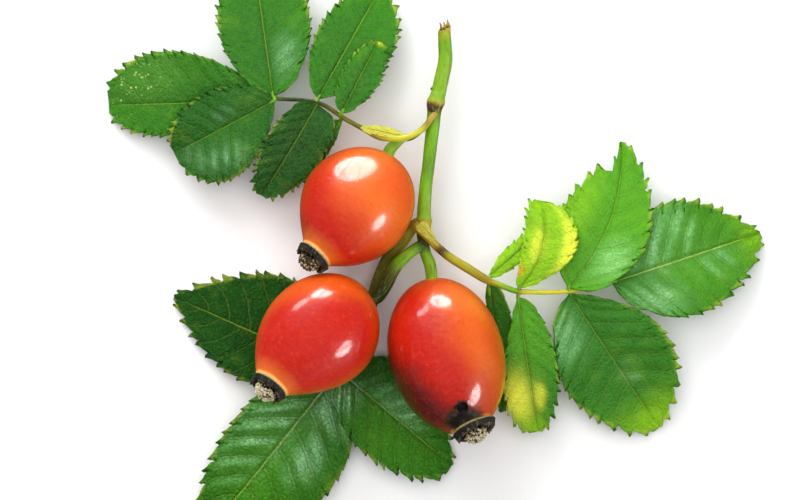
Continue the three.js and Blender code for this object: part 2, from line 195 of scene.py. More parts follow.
class Wire:
    def __init__(self, tree, socket):
        self.tree, self.socket = tree, socket

    def node(self, kind, settings=None, out=0, **inputs):
        node = self.tree.nodes.new("ShaderNode" + kind)
        for setting, value in (settings or {}).items():
            setattr(node, setting, value)
        for name, value in inputs.items():
            key = int(name[1:]) if name[0] == "i" and name[1:].isdigit() else name.replace("_", " ")
            if isinstance(value, Wire):
                self.tree.links.new(value.socket, node.inputs[key])
            else:
                node.inputs[key].default_value = value
        return Wire(self.tree, node.outputs[out])

    def math(self, operation, first, second=0.0, clamp=False):
        return self.node("Math", {"operation": operation, "use_clamp": clamp}, i0=first, i1=second)

    def __add__(self, other):
        return self.math("ADD", self, other)

    def __sub__(self, other):
        return self.math("SUBTRACT", self, other)

    def __rsub__(self, other):
        return self.math("SUBTRACT", other, self)

    def __mul__(self, other):
        return self.math("MULTIPLY", self, other)

    def __truediv__(self, other):
        return self.math("DIVIDE", self, other)

    __radd__, __rmul__ = __add__, __mul__

    def size(self):
        return self.math("ABSOLUTE", self)

    def step(self, start, end):
        """0 before start, 1 after end, and smooth between them; start may be the larger."""
        if start > end:
            return 1 - self.step(end, start)
        settings = {"interpolation_type": "SMOOTHSTEP"}
        return self.node("MapRange", settings, Value=self, From_Min=start, From_Max=end)

    def axis(self, letter):
        return self.node("SeparateXYZ", out="XYZ".index(letter), Vector=self)

    def stretched(self, x, y, z):
        return self.node("VectorMath", {"operation": "MULTIPLY"}, i0=self, i1=(x, y, z))

    def moved(self, x, y, z):
        return self.node("VectorMath", {"operation": "ADD"}, i0=self, i1=(x, y, z))

    def along(self, x, y, z):
        return self.node("VectorMath", {"operation": "DOT_PRODUCT"}, out=1, i0=self, i1=(x, y, z))

    def length(self):
        return self.node("VectorMath", {"operation": "LENGTH"}, out=1, i0=self)

    def noise(self, scale, detail=2.0, roughness=0.5):
        return self.node("TexNoise", Vector=self, Scale=scale, Detail=detail, Roughness=roughness)

    def cells(self, scale, feature="F1"):
        return self.node("TexVoronoi", {"feature": feature}, Vector=self, Scale=scale, Randomness=1.0)

    def read(self, label, out=1):
        """A vector noted at the piece's points, or with out=0 a colour."""
        return self.node("Attribute", {"attribute_name": label}, out=out)

    def blend(self, other, share, mode="MIX"):
        """This colour mixed with another by a share from 0 to 1."""
        node = self.tree.nodes.new("ShaderNodeMix")
        node.data_type, node.blend_type = "RGBA", mode
        for key, value in ((0, share), (6, self), (7, other)):
            if isinstance(value, Wire):
                self.tree.links.new(value.socket, node.inputs[key])
            else:
                node.inputs[key].default_value = value
        return Wire(self.tree, node.outputs[2])


print("a wire can", ", ".join(each for each in vars(Wire) if each[0] != "_"))


# %% Finishes
def new_finish(name):
    """An empty material with its shader, and the wire that others start from."""
    finish = bpy.data.materials.new(name)
    finish.use_nodes = True
    shader = finish.node_tree.nodes["Principled BSDF"]
    return finish, shader, Wire(finish.node_tree, shader.outputs[0])


def connect(wire, shader, socket):
    wire.tree.links.new(wire.socket, shader.inputs[socket])


def colour_of(start, shade):
    return start.node("MixRGB", {"blend_type": "MIX"}, i0=0.0, i1=shade, i2=shade)


def wax(shader, roughness):
    """A film of wax carries the shine, and what is under it is nearly matt."""
    shader.inputs["Coat Roughness"].default_value = roughness
    shader.inputs["Coat IOR"].default_value = 1.5
    shader.inputs["Specular IOR Level"].default_value = 0.12


def bumped(shader, height, strength, depth):
    """A relief as many millimetres deep."""
    start = Wire(height.tree, shader.outputs[0])
    normal = start.node("Bump", Strength=strength, Distance=depth * MM, Height=height)
    connect(normal, shader, "Normal")


WHITE = paint(255, 255, 255)
print("white in linear light is", WHITE[:3])

# %% [markdown]
# The hips are eggs of flesh, a little bowed, that draw in to the pedicel at one end and to a
# short neck at the other. A round primitive has the right rings already, so each hip starts as
# a sphere whose rings are set to the radius that the egg has there. The whole is then bent and
# laid in its place. The points keep their straight place, in millimetres, so that streaks and
# blushes of the skin can follow the fruit.

# %% Where the hips lie
HIPS = {
    "upper": dict(centre=(-7.55, 7.35, 8.95), heading=-125.5, tilt=18.5, radius=8.9, half=9.95,
                  taper=11.2, point=0.75, neck=10.8, bulge=-0.65, egg=0.02, crown=2.95),
    "left": dict(centre=(-12.15, -14.15, 11.15), heading=-141, tilt=22, radius=8.95, half=10.26,
                 taper=12.9, point=0.75, neck=11.95, bulge=1, egg=0.045, crown=3.05),
    "right": dict(centre=(8.4, -16.6, 9.5), heading=-74.5, tilt=19, radius=9.2, half=12.9,
                  taper=12.9, point=0.5, neck=12.6, bulge=0.95, egg=0.02, crown=3.35),
}
NECK_RADIUS = 2.75
SHOULDER_RADIUS = 1.02
SHOULDER_REACH = 0.1


def hip_axes(hip):
    """The hip's side, axis and top directions as the columns of a matrix."""
    azimuth, rise = math.radians(hip["heading"]), math.radians(hip["tilt"])
    level = np.array([math.cos(azimuth), math.sin(azimuth), 0.0])
    up = np.array([0.0, 0.0, 1.0])
    axis = level * math.cos(rise) + up * math.sin(rise)
    side = np.cross(level, up)
    return np.stack([side, axis, np.cross(side, axis)], axis=1)


def lay_on_hip(hip, points):
    """Straight points in millimetres, bent to the hip's bow and laid in the plan."""
    x, y, z = points.T
    aside = hip["bulge"] * (1 - (y / hip["half"]) ** 2)
    turn = np.arctan(2 * hip["bulge"] * y / hip["half"] ** 2)
    bent = np.stack([aside + x * np.cos(turn), y + x * np.sin(turn), z], axis=1)
    return bent @ hip_axes(hip).T + np.array(hip["centre"])


def flesh_radius(hip, y):
    length = np.where(y > 0, hip["taper"], hip["half"])
    power = np.where(y > 0, hip["point"], 0.5)
    swell = np.clip(1 - (y / length) ** 2, 0, 1) ** power * (1 - hip["egg"] * y / hip["half"])
    end = np.where(y > 0, NECK_RADIUS, SHOULDER_RADIUS)
    return ((hip["radius"] * swell) ** 5 + end ** 5) ** 0.2


def make_hip(hip):
    piece = lying_ball(128, 88)
    x, y, z = points_of(piece).T
    low, high = -hip["half"] - SHOULDER_REACH, hip["neck"]
    along = (high + low) / 2 + y * (high - low) / 2
    around = np.arctan2(z, x)
    lumps = 1 + 0.006 * np.sin(3 * around + 1 + y) + 0.004 * np.sin(5 * around + 2.3 - 2 * y)
    at_pole = np.hypot(x, z) < 1e-5
    radius = np.where(at_pole, 0, flesh_radius(hip, along) * lumps)
    straight = round_axis(around, radius, along)
    laid = lay_on_hip(hip, straight)
    laid[:, 2] = np.maximum(laid[:, 2], 0)
    move_points(piece, metres(laid))
    note(piece, "straight", straight)
    smooth(piece)
    return piece


hips = {name: make_hip(hip) for name, hip in HIPS.items()}
print("made", len(hips), "hips")

# %% [markdown]
# One hip has a worm hole beside its crown. It is pressed into the skin where a plumb line from
# the hole's plan place meets the flesh, so that it sits on the fruit from any side. The faces
# near it are chosen by their place and subdivided, and their points are pushed in: a hole that
# was only painted would look flat from the side.

# %% The worm hole
HOLE_IN_PLAN = (9.8, -24.8)
SMEAR_IN_PLAN = (10.2, -27.0)
HOLE_RADIUS = 0.55 * MM
HOLE_DEPTH = 0.9 * MM
HOLE_REACH = 1.6 * MM


def drop_onto(piece, plan):
    """Where a plumb line at a plan point first meets a piece, and the surface's direction there."""
    x, y, _ = metres((*plan, 0))
    found, place, normal, _ = piece.ray_cast(Vector((x, y, 0.1)), Vector((0, 0, -1)))
    assert found, plan
    return place.copy(), normal.copy()


hole, hole_normal = drop_onto(hips["right"], HOLE_IN_PLAN)
smear, _ = drop_onto(hips["right"], SMEAR_IN_PLAN)


def press_hole(piece, place, normal):
    """Pushes the points near a place inwards, and a low lip round them outwards."""
    around = points_of(piece) - np.array(place)
    away = np.linalg.norm(around, axis=1) / HOLE_RADIUS
    dent = np.clip(1.6 - away, 0, 1)
    lip = 0.12 * np.exp(-((away - 1.9) / 0.5) ** 2)
    push = (-dent ** 0.7 + lip)[:, None] * HOLE_DEPTH * np.array(normal)
    move_points(piece, points_of(piece) + push)


def choose_faces_near(piece, place, reach):
    for part in (*piece.data.vertices, *piece.data.edges):
        part.select = False
    for face in piece.data.polygons:
        face.select = (face.center - place).length < reach


choose(hips["right"])
choose_faces_near(hips["right"], hole, HOLE_REACH)
bpy.ops.object.mode_set(mode="EDIT")
bpy.ops.mesh.select_mode(type="FACE")
bpy.ops.mesh.subdivide(number_cuts=3, smoothness=0.6)
bpy.ops.object.mode_set(mode="OBJECT")
press_hole(hips["right"], hole, hole_normal)
print("pressed a hole at", [round(v / MM, 1) for v in hole])

# %% [markdown]
# A ripe skin is a clear glossy film over flesh whose colour drifts from orange on one side to
# red, and to crimson on the side turned from the lights, which is partly the fruit's own colour
# and partly painted shade. The lower part of each hip, its rim as seen from above, is blended to
# orange as painted rim light bounced from the table. Pale flesh shows at the neck and a yellow
# flush at the pedicel. The drift is a mix by direction from the hip's middle, roughened by
# noise, and the fine streaks run lengthwise because they read the straight place.

# %% The skin
ORANGE = paint(222, 84, 16)
AMBER = paint(236, 124, 40)
SCARLET = paint(190, 26, 12)
CRIMSON = paint(70, 5, 12)
PALE_FLESH = paint(252, 190, 104)
YELLOW_FLUSH = paint(236, 190, 60)
ROT = paint(14, 18, 17)
ROT_BLOOM = paint(62, 76, 70)
ROT_EDGE = paint(58, 46, 20)
SPECK = paint(110, 30, 14)
SKIN_DRIFT = 0.35       # how far noise moves the border between two colours
PORE_DEPTH = 0.07


def skin(name, hip, warm, deep, warm_span, deep_span, amber=0.0, rim=0.3, flush=0.5, glow=0.6, polish=0.14,
         hole=None, smear=None):
    """A skin that is warm towards one side and deep towards another, each over its own span; the deep side
    is partly painted shade.
    """
    finish, shader, start = new_finish("skin_" + name)
    at = start.node("TexCoord", out=3)
    place = at.moved(*(-metres(hip["centre"])))
    straight = start.read("straight")
    drift = (place.noise(140, 3) - 0.5) * SKIN_DRIFT
    radius = hip["radius"] * MM
    warm_side = (place.along(*(Vector(warm).normalized() / radius)) + drift).step(*warm_span)
    deep_side_and_shade = (place.along(*(Vector(deep).normalized() / radius)) + drift * 0.7).step(*deep_span)
    colour = colour_of(start, SCARLET).blend(ORANGE, warm_side)
    if amber:
        colour = colour.blend(AMBER, warm_side * amber * place.noise(70, 1).step(0.35, 0.65))
    # The lower part of each hip is blended to orange: painted rim light, the bounce of the pale table seen
    # at the rim from above.
    level = (place.axis("Z") / radius + drift * 0.6).step(0.66, 0.12)
    colour = colour.blend(ORANGE, level * rim)
    # The crimson side is partly the fruit's own colour and partly painted shade, away from the lights.
    colour = colour.blend(CRIMSON, deep_side_and_shade * 0.93)
    streaks = straight.stretched(1.0, 0.16, 1.0).noise(1.6, 4, 0.6)
    colour = colour.blend(WHITE, (streaks - 0.5).step(0.02, 0.35) * 0.16, "SOFT_LIGHT")
    mottle = straight.noise(1.5, 4, 0.7)
    colour = colour.blend(CRIMSON, (mottle - 0.5).step(0.0, 0.25) * 0.22)
    colour = colour.blend(AMBER, (0.5 - mottle).step(0.0, 0.25) * 0.14)
    along = straight.axis("Y")
    specks = straight.cells(0.85).step(0.10, 0.06) * straight.moved(3, 1, 4).noise(0.4).step(0.5, 0.62)
    colour = colour.blend(SPECK, specks * 0.55)
    ragged = (straight.stretched(1, 0.2, 1).noise(1.1, 3) - 0.5) * 1.6
    from_neck = along - hip["neck"]
    colour = colour.blend(AMBER, (from_neck + ragged * 0.5).step(-2.8, -0.5) * glow)
    colour = colour.blend(PALE_FLESH, (from_neck + ragged * 0.15).step(-0.75, -0.35) * 0.8)
    foot = (along * -1 + ragged).step(hip["half"] - 1.5, hip["half"] + 0.2)
    colour = colour.blend(YELLOW_FLUSH, foot * flush)
    rough = 0.34 + mottle * 0.10
    film = 0.5 + streaks.step(0.34, 0.56) * 0.5
    if hole is not None:
        shaky = (place.noise(900, 3) - 0.5) * 0.9
        round_hole = (at.moved(*(-hole)).length() / MM + shaky).step(1.7, 0.9)
        stain = (at.moved(*(-smear)).stretched(0.8, 0.9, 1.0).length() / MM + shaky * 1.2).step(3.0, 1.5)
        rotten = round_hole.math("MAXIMUM", round_hole, stain)
        fringe = (at.moved(*(-smear)).length() / MM + shaky * 2).step(4.0, 2.4)
        in_hole = (at.moved(*(-hole)).length() / MM).step(0.9, 0.6)
        bloom = (1 - in_hole) * place.noise(700, 3).step(0.48, 0.7)
        colour = colour.blend(ROT_EDGE, fringe * 0.55)
        colour = colour.blend(colour_of(start, ROT).blend(ROT_BLOOM, bloom * 0.6), rotten * 0.97)
        rough = rough + rotten * 0.2
        film = film - rotten * 0.75
    connect(colour, shader, "Base Color")
    connect(rough, shader, "Roughness")
    connect(film, shader, "Coat Weight")
    wax(shader, polish)
    pores = straight.noise(1.7, 2, 0.5) + straight.noise(0.45, 2, 0.5) * 3.2
    bumped(shader, pores, 1.0, PORE_DEPTH)
    return finish


# %% Skins on the hips
# deep and deep_span give the crimson side, partly painted shade; rim sets how much painted rim light the
# lower part gets.
SKINS = {
    "upper": dict(warm=(0.75, 0.45, 0.5), deep=(-0.75, -0.6, -0.1), warm_span=(-0.2, 1.0),
                  deep_span=(0.6, 1.15), amber=0.5, rim=0.25, polish=0.17),
    "left": dict(warm=(-0.05, 0.95, -0.3), deep=(-0.1, -0.8, -0.6), warm_span=(0.22, 0.85),
                 deep_span=(0.75, 1.35), rim=0.7, flush=0.0),
    "right": dict(warm=(0.85, 0.5, 0.2), deep=(-0.66, -0.75, -0.1), warm_span=(-0.1, 1.0),
                  deep_span=(0.3, 0.92), amber=0.7, rim=0.1, flush=0.8, glow=0.15, hole=hole, smear=smear),
}
for name, look in SKINS.items():
    hand_over(hips[name], name + "_hip", [skin(name, HIPS[name], **look)], "hip_" + name)

# %% [markdown]
# The crown is what the flower leaves: a thin papery rim round a dark sunken dish, broken into
# stubs where the sepals fell. A round plate is extruded upwards as many times as the crown's
# outline has points, which gives a closed drum with rings to spare, and each ring is then set
# to its radius and height. The same drum serves the stalks below.

# %% A drum with rings
def drum(sides, rings):
    """A closed upright drum of unit radius, one unit between its rings."""
    nothing_selected()
    bpy.ops.mesh.primitive_circle_add(vertices=sides, radius=1, fill_type="NGON")
    piece = bpy.context.object

    def rise():
        for _ in range(rings):
            bpy.ops.mesh.extrude_region_move(TRANSFORM_OT_translate={"value": (0, 0, 1)})

    edit(piece, rise, lambda: bpy.ops.mesh.select_all(action="SELECT"), face_out)
    return piece


print("a drum is ready to be shaped, ring by ring")

# %% The crowns
CROWN_OUTLINE = [   # share of the crown's radius, height in millimetres above the neck
    (0.66, -0.9), (0.86, -0.62), (0.92, -0.48), (0.945, -0.32), (0.96, -0.16), (1.0, -0.04), (1.02, 0.12),
    (0.99, 0.26), (0.955, 0.5), (0.925, 0.75), (0.895, 0.96), (0.865, 1.04), (0.82, 1.02), (0.78, 0.88),
    (0.74, 0.65), (0.7, 0.5), (0.6, 0.42), (0.4, 0.4), (0.15, 0.4),
]
OUTSIDE_RINGS = (3, 12)     # between these rings the drum is the crown's outer wall
LIP_FRAY = 0.32             # how far the torn lip rises and falls
DISH_RING = 13              # past this one it is the ribbed floor of the dish
CROWN_SIDES = 144


def make_crown(hip, flare, flare_at, turn):
    piece = drum(CROWN_SIDES, len(CROWN_OUTLINE) - 1)
    x, y, z = points_of(piece).T
    ring = np.rint(z).astype(int)
    share, height = np.array(CROWN_OUTLINE)[ring].T
    radius = share * hip["crown"]
    angle = np.arctan2(y, x)
    outside = (ring > OUTSIDE_RINGS[0]) & (ring < OUTSIDE_RINGS[1])
    lip = np.clip((height - 0.15) / 0.9, 0, 1) * (share > 0.72)
    stubs = 0.5 * np.cos(5 * angle + turn) + 0.32 * np.sin(8 * angle + 1 + turn) + 0.22 * np.sin(19 * angle)
    frayed = stubs + 0.4 * np.sin(37 * angle + 2 * turn) + 0.35 * np.sin(53 * angle)
    frayed = frayed + 0.3 * np.sin(71 * angle + turn)
    height = height + lip * LIP_FRAY * frayed
    radius = radius * (1 + lip * 0.05 * stubs) + outside * 0.05 * np.sin(31 * angle + 3 * height + turn)
    radius = radius + outside * flare * np.clip(np.cos(angle - flare_at), 0, 1) ** 3
    ribs = (ring > DISH_RING) * 0.07 * np.sin(36 * angle)
    straight = round_axis(angle, radius, hip["neck"] + height + ribs)
    move_points(piece, metres(lay_on_hip(hip, straight)))
    note(piece, "straight", straight - np.array([0, hip["neck"], 0]))
    edit(piece, face_out)
    smooth(piece)
    return piece


CROWNS = {   # how far the rim flares, in which direction, and how the stubs are turned
    "upper": (0.1, 2.4, 2.4),
    "left": (0.05, 1.0, 1.0),
    "right": (0.45, 2.9, 0.1),
}
crowns = {name: make_crown(HIPS[name], *shape) for name, shape in CROWNS.items()}
print("made", len(crowns), "crowns of", CROWN_SIDES, "sides")

# %% The dried crown's finish
STRAW = paint(176, 136, 78)
PALE_STRAW = paint(196, 168, 104)
CHAR = paint(14, 15, 12)
DARK_MOSS = paint(48, 54, 38)
GREY_FIBRE = paint(150, 144, 116)


def dried_crown():
    finish, shader, start = new_finish("dried_crown")
    straight = start.read("straight")
    height = straight.axis("Y")
    fibres = straight.stretched(1, 0.2, 1).noise(3.0, 4, 0.7)
    fine = straight.noise(6, 3, 0.7)
    colour = colour_of(start, CHAR).blend(DARK_MOSS, fibres.step(0.48, 0.66))
    colour = colour.blend(GREY_FIBRE, fibres.step(0.60, 0.70) * fine.step(0.42, 0.58) * 0.8)
    foot_ring = (height + (fine - 0.5) * 0.5).step(0.14, 0.0)
    colour = colour.blend(PALE_STRAW, foot_ring * fine.step(0.36, 0.5) * 0.9)
    torn_edge = (height + (fibres - 0.5) * 0.8).step(0.90, 1.05) * fine.step(0.45, 0.58)
    colour = colour.blend(STRAW, torn_edge * 0.5)
    connect(colour, shader, "Base Color")
    connect(0.55 + fine * 0.3, shader, "Roughness")
    bumped(shader, fibres + fine * 0.5, 0.8, 0.25)
    return finish


crown_finish = dried_crown()
for name, crown in crowns.items():
    hand_over(crown, name + "_crown", [crown_finish], "crown_" + name)

# %% [markdown]
# In the dish stands a cushion of dried styles, a dome of pale knobs with dark gaps between.
# One knob is a ball pulled long; copies of it are spread over a dome along a sunflower spiral,
# leaning outwards, with some left out. The dome under them is painted near black as shade, so
# every gap reads as a hole.

# %% The styles
STYLES_RADIUS = 1.85
STYLES_HEIGHT = 1.75
STYLES_FOOT = 0.85
KNOBS = 170
GOLDEN_TURN = math.pi * (3 - math.sqrt(5))
DOME_COVER = 0.93   # share of the dome's height that has knobs
LEFT_OUT = 0.28     # share of the knobs that have dropped off
KNOB_SIZES = (0.10, 0.23)
KNOB_SCATTER = 0.05
UNDER_DOME = -9     # the shade noted on the dome, far darker than that of any knob


def painted_shade_dome(hip):
    """The dome under the knobs, painted dark as the shade in the gaps between them."""
    dome = lying_ball(48, 24)
    x, y, z = points_of(dome).T
    wide = STYLES_RADIUS - 0.2
    rise = np.where(y > 0, y * (STYLES_HEIGHT - 0.25), y * 0.4)
    shaped = np.column_stack([x * wide, hip["neck"] + STYLES_FOOT + rise, z * wide])
    move_points(dome, metres(lay_on_hip(hip, shaped)))
    note(dome, "straight", shaped * [1, 0, 1] + np.array([0, UNDER_DOME, 0]))
    return dome


def knob_places(hip, ball, seed, darker):
    """The points and the shade of every knob that is left on the dome."""
    chance = np.random.default_rng(seed)
    spread = [STYLES_RADIUS - 0.12, STYLES_HEIGHT - 0.2, STYLES_RADIUS - 0.12]
    for i in range(KNOBS):
        high = 1 - DOME_COVER * (i + 0.5) / KNOBS
        turn = i * GOLDEN_TURN
        size = chance.uniform(*KNOB_SIZES)
        jitter = chance.normal(0, KNOB_SCATTER, 3)
        if chance.random() < LEFT_OUT:
            continue
        out = math.sqrt(1 - high ** 2)
        direction = np.array([math.cos(turn) * out, high, math.sin(turn) * out])
        centre = direction * spread + jitter
        lumpy = ball * (1 + 0.25 * np.sin(5 * ball[:, [1]] + i) * np.cos(4 * ball[:, [0]] + i))
        pulled = lumpy * size + direction * (lumpy @ direction)[:, None] * size * 0.5
        yield pulled + centre + np.array([0, hip["neck"] + STYLES_FOOT, 0]), chance.random() + darker


def make_styles(hip, seed, darker):
    dome = painted_shade_dome(hip)
    nothing_selected()
    bpy.ops.mesh.primitive_ico_sphere_add(subdivisions=2, radius=1)
    knob = bpy.context.object
    copies = []
    for place, shade in knob_places(hip, points_of(knob), seed, darker):
        copy = knob.copy()
        copy.data = knob.data.copy()
        bpy.context.collection.objects.link(copy)
        move_points(copy, metres(lay_on_hip(hip, place)))
        note(copy, "straight", np.column_stack([place[:, 0], np.full(len(place), shade), place[:, 2]]))
        copies.append(copy)
    bpy.data.objects.remove(knob)
    cushion = joined([dome, *copies])
    smooth(cushion)
    return cushion


STYLES = {"upper": (3, 0.75), "left": (8, 0.0), "right": (21, 0.2)}     # seed, and how much darker
styles = {name: make_styles(HIPS[name], *given) for name, given in STYLES.items()}
print("made", len(styles), "cushions of styles")

# %% The dried styles' finish
CREAM = paint(222, 212, 178)
TAN = paint(176, 150, 104)
CHAR_BROWN = paint(56, 44, 30)
PAINTED_GAP_SHADE = paint(24, 18, 12)


def dried_styles():
    finish, shader, start = new_finish("dried_styles")
    straight = start.read("straight")
    shade = straight.axis("Y")
    grain = start.node("TexCoord", out=3).noise(2600, 3, 0.7)
    colour = colour_of(start, CREAM).blend(TAN, shade.step(0.55, 1.0) * 0.8)
    colour = colour.blend(CHAR_BROWN, shade.step(0.95, 1.25) * 0.92)
    colour = colour.blend(CHAR_BROWN, grain.step(0.52, 0.68) * 0.7)
    # The dome's tone paints it near black: painted shade in the gaps between the knobs.
    colour = colour.blend(PAINTED_GAP_SHADE, shade.step(-1, -2))
    connect(colour, shader, "Base Color")
    connect(0.7 + grain * 0.25, shader, "Roughness")
    bumped(shader, grain, 0.6, 0.15)
    return finish


styles_finish = dried_styles()
for name, cushion in styles.items():
    hand_over(cushion, name + "_styles", [styles_finish], "styles_" + name)

# %% [markdown]
# Stalks carry everything: the main stem, the pedicels that swell into the hips, and the leaf
# stalks. Each follows a smooth route through a few stations, every station with its thickness
# and colour. A drum is wound along the route ring by ring, and its points also keep their
# straight place, so that fibres run lengthwise on a bent stalk.

# %% Routes
def route(stations, share):
    """Points on a smooth curve through the stations at shares 0 to 1, and its direction there."""
    stations = np.asarray(stations, float)
    count = len(stations)
    before = 2 * stations[0] - stations[1]
    after = 2 * stations[-1] - stations[-2]
    knots = np.vstack([before, stations, after])
    at = np.clip(share, 0, 1) * (count - 1)
    span = np.minimum(at.astype(int), count - 2)
    w = (at - span)[:, None]
    a, b, c, d = (knots[span + k] for k in range(4))

    def gap(p, q):
        return np.linalg.norm(p[:, :3] - q[:, :3], axis=1, keepdims=True) ** 0.5

    ab, bc, cd = gap(a, b), gap(b, c), gap(c, d)
    out_b = ((b - a) / ab - (c - a) / (ab + bc) + (c - b) / bc) * bc
    into_c = ((c - b) / bc - (d - b) / (bc + cd) + (d - c) / cd) * bc
    cubic = 2 * b - 2 * c + out_b + into_c
    square = -3 * b + 3 * c - 2 * out_b - into_c
    places = b + out_b * w + square * w ** 2 + cubic * w ** 3
    direction = out_b + 2 * square * w + 3 * cubic * w ** 2
    direction = direction[:, :3] / np.linalg.norm(direction[:, :3], axis=1, keepdims=True)
    return places, direction


print("a route keeps its speed even, so that a stalk has no kinks at its stations")


# %% Stalks
# lit is a lighter green painted where a stalk catches the light, and shade and the dim olive are painted
# shade where it lies in shadow; the others are the bark's own colours.
STALK_COLOURS = {
    "fresh": (104, 158, 20), "green": (88, 132, 26), "lit": (118, 162, 28), "olive": (96, 98, 24),
    "shade": (46, 58, 16), "dusk_shade": (78, 88, 24), "moss": (150, 148, 34), "brown": (74, 48, 18),
    "bronze": (142, 124, 30), "gold": (152, 142, 32), "tan": (164, 138, 48), "yellow": (190, 188, 44),
}
STALK_RIDGES = 0.03


def stalk(stations, sides=24, steps_per_span=9):
    """A stalk through stations (x, y, z, radius, colour name)."""
    rings = (len(stations) - 1) * steps_per_span
    piece = drum(sides, rings)
    x, y, ring = points_of(piece).T
    numbers = [(*s[:4], *paint(*STALK_COLOURS[s[4]])[:3]) for s in stations]
    places, direction = route(numbers, ring / rings)
    centre, radius, colours = places[:, :3], places[:, 3], places[:, 4:7]
    side = np.cross(direction, [0, 0, 1.0])
    side /= np.linalg.norm(side, axis=1, keepdims=True)
    top = np.cross(side, direction)
    angle = np.arctan2(y, x)
    rim = np.hypot(x, y)
    ridged = np.sin(5 * angle + 0.2 * ring) + 0.6 * np.sin(3 * angle + 1)
    thick = radius * rim * (1 + STALK_RIDGES * ridged)
    laid = centre + side * (np.cos(angle) * thick)[:, None] + top * (np.sin(angle) * thick)[:, None]
    move_points(piece, metres(laid))
    middles = route(numbers, np.linspace(0, 1, rings + 1))[0][:, :3]
    length = np.concatenate([[0], np.cumsum(np.linalg.norm(np.diff(middles, axis=0), axis=1))])
    note(piece, "straight", round_axis(angle, thick, length[np.rint(ring).astype(int)]))
    note(piece, "tint", np.clip(colours, 0, 1))
    edit(piece, face_out)
    smooth(piece)
    return piece


print("a stalk can have", len(STALK_COLOURS), "colours")

# %% [markdown]
# The bark of a young rose shoot is smooth and waxy, green where it is fresh and brown where it
# is bruised or lignified at the nodes. The tint noted at each station gives the drift, and it is
# painted light at the stations named lit and painted shade at the shaded ones. Fine lengthwise
# fibres and small pale pores break it, and a thin waxy coat gives the long highlight.

# %% The bark
LIGHT_FIBRE = paint(150, 172, 66)
DARK_FIBRE = paint(52, 52, 22)
WORN_BARK = paint(104, 76, 34)
BARK_PORE = paint(196, 190, 120)


def bark(name, worn=0.35):
    finish, shader, start = new_finish(name)
    straight = start.read("straight")
    tint = start.read("tint", out=0)
    fibres = straight.stretched(2.4, 0.35, 2.4).noise(2.0, 4, 0.6)
    patches = straight.stretched(0.8, 0.3, 0.8).noise(1.1, 3, 0.6)
    colour = tint.blend(LIGHT_FIBRE, fibres.step(0.5, 0.75) * 0.45)
    colour = colour.blend(DARK_FIBRE, fibres.step(0.47, 0.25) * 0.6)
    colour = colour.blend(WORN_BARK, patches.step(0.55, 0.75) * worn)
    pores = straight.stretched(1, 0.5, 1).cells(1.5).step(0.13, 0.06) * straight.noise(0.7).step(0.45, 0.6)
    colour = colour.blend(BARK_PORE, pores * 0.5)
    connect(colour, shader, "Base Color")
    connect(0.4 + fibres * 0.2, shader, "Roughness")
    shader.inputs["Specular IOR Level"].default_value = 0.15
    shader.inputs["Coat Weight"].default_value = 0.2
    shader.inputs["Coat Roughness"].default_value = 0.22
    bumped(shader, fibres + pores * 0.4, 0.5, 0.12)
    return finish


stem_bark = bark("stem_bark")
leaf_stalk_bark = bark("leaf_stalk_bark", 0.5)
print("two barks, the leaf stalks' more worn")

# %% The main stem, cut on the slant
# Lit stations carry painted light, and the shaded ones at the foot painted shade.
MAIN_STEM = [
    (7.12, 36.9, 4.9, 1.02, "tan"), (7.15, 35.0, 4.95, 1.03, "moss"), (7.2, 32.8, 5.1, 1.08, "fresh"),
    (7.25, 30.4, 5.2, 1.12, "lit"), (6.7, 27.4, 5.5, 1.17, "lit"), (6.2, 25.2, 5.7, 1.2, "lit"),
    (5.95, 24.4, 5.9, 1.26, "lit"), (5.75, 23.6, 5.95, 1.44, "moss"), (5.6, 22.9, 6.0, 1.3, "brown"),
    (5.48, 22.2, 6.0, 1.16, "olive"), (5.4, 21.4, 6.05, 1.1, "green"), (5.3, 19.8, 6.1, 1.08, "fresh"),
    (4.9, 16.5, 6.1, 1.04, "fresh"), (4.5, 13.2, 6.15, 1.0, "green"), (4.15, 10.4, 6.2, 1.0, "fresh"),
    (3.9, 6.6, 6.2, 1.08, "lit"), (3.85, 5.3, 6.2, 1.14, "lit"), (3.8, 4.75, 6.2, 1.3, "gold"),
    (3.8, 3.8, 6.2, 1.22, "gold"), (3.82, 2.4, 6.2, 1.14, "shade"), (3.87, 1.2, 6.2, 1.0, "shade"),
    (3.95, 0.1, 6.1, 0.5, "shade"),
]
CUT_POINT = (7.0, 35.4, 5.0)
CUT_FACE = (-0.45, 1.0, 0.3)

main_stem = stalk(MAIN_STEM, sides=40)


def slant_cut():
    bpy.ops.mesh.bisect(plane_co=metres(CUT_POINT), plane_no=CUT_FACE, clear_outer=True, use_fill=True)


edit(main_stem, slant_cut)
print("the main stem has", len(MAIN_STEM), "stations and a cut end")

# %% The pedicels
SHOULDER = 0.95
# Lit stations carry painted light, and the shaded ones by the fork and near the left hip painted shade.
PEDICELS = {
    "upper": [
        (5.3, 21.7, 6.0, 0.5, "olive"), (4.4, 20.15, 5.7, 0.5, "green"), (3.1, 18.95, 5.6, 0.5, "green"),
        (1.75, 18.1, 5.5, 0.56, "green"), (0.6, 17.9, 5.4, 0.65, "lit"), (-0.45, 17.2, 5.4, 0.8, "lit"),
    ],
    "left": [
        (3.7, 0.9, 6.2, 0.9, "shade"), (2.7, 0.3, 6.25, 0.9, "green"), (1.5, -0.5, 6.3, 0.92, "lit"),
        (0.0, -1.8, 6.4, 1.0, "fresh"), (-1.2, -3.5, 6.5, 1.06, "dusk_shade"), (-2.1, -5.3, 6.5, 1.08, "shade"),
    ],
    "right": [
        (3.85, 0.9, 6.2, 0.84, "shade"), (4.15, -0.6, 5.9, 0.9, "fresh"), (4.65, -1.9, 5.65, 0.96, "lit"),
        (4.95, -3.2, 5.3, 0.96, "lit"),
    ],
}


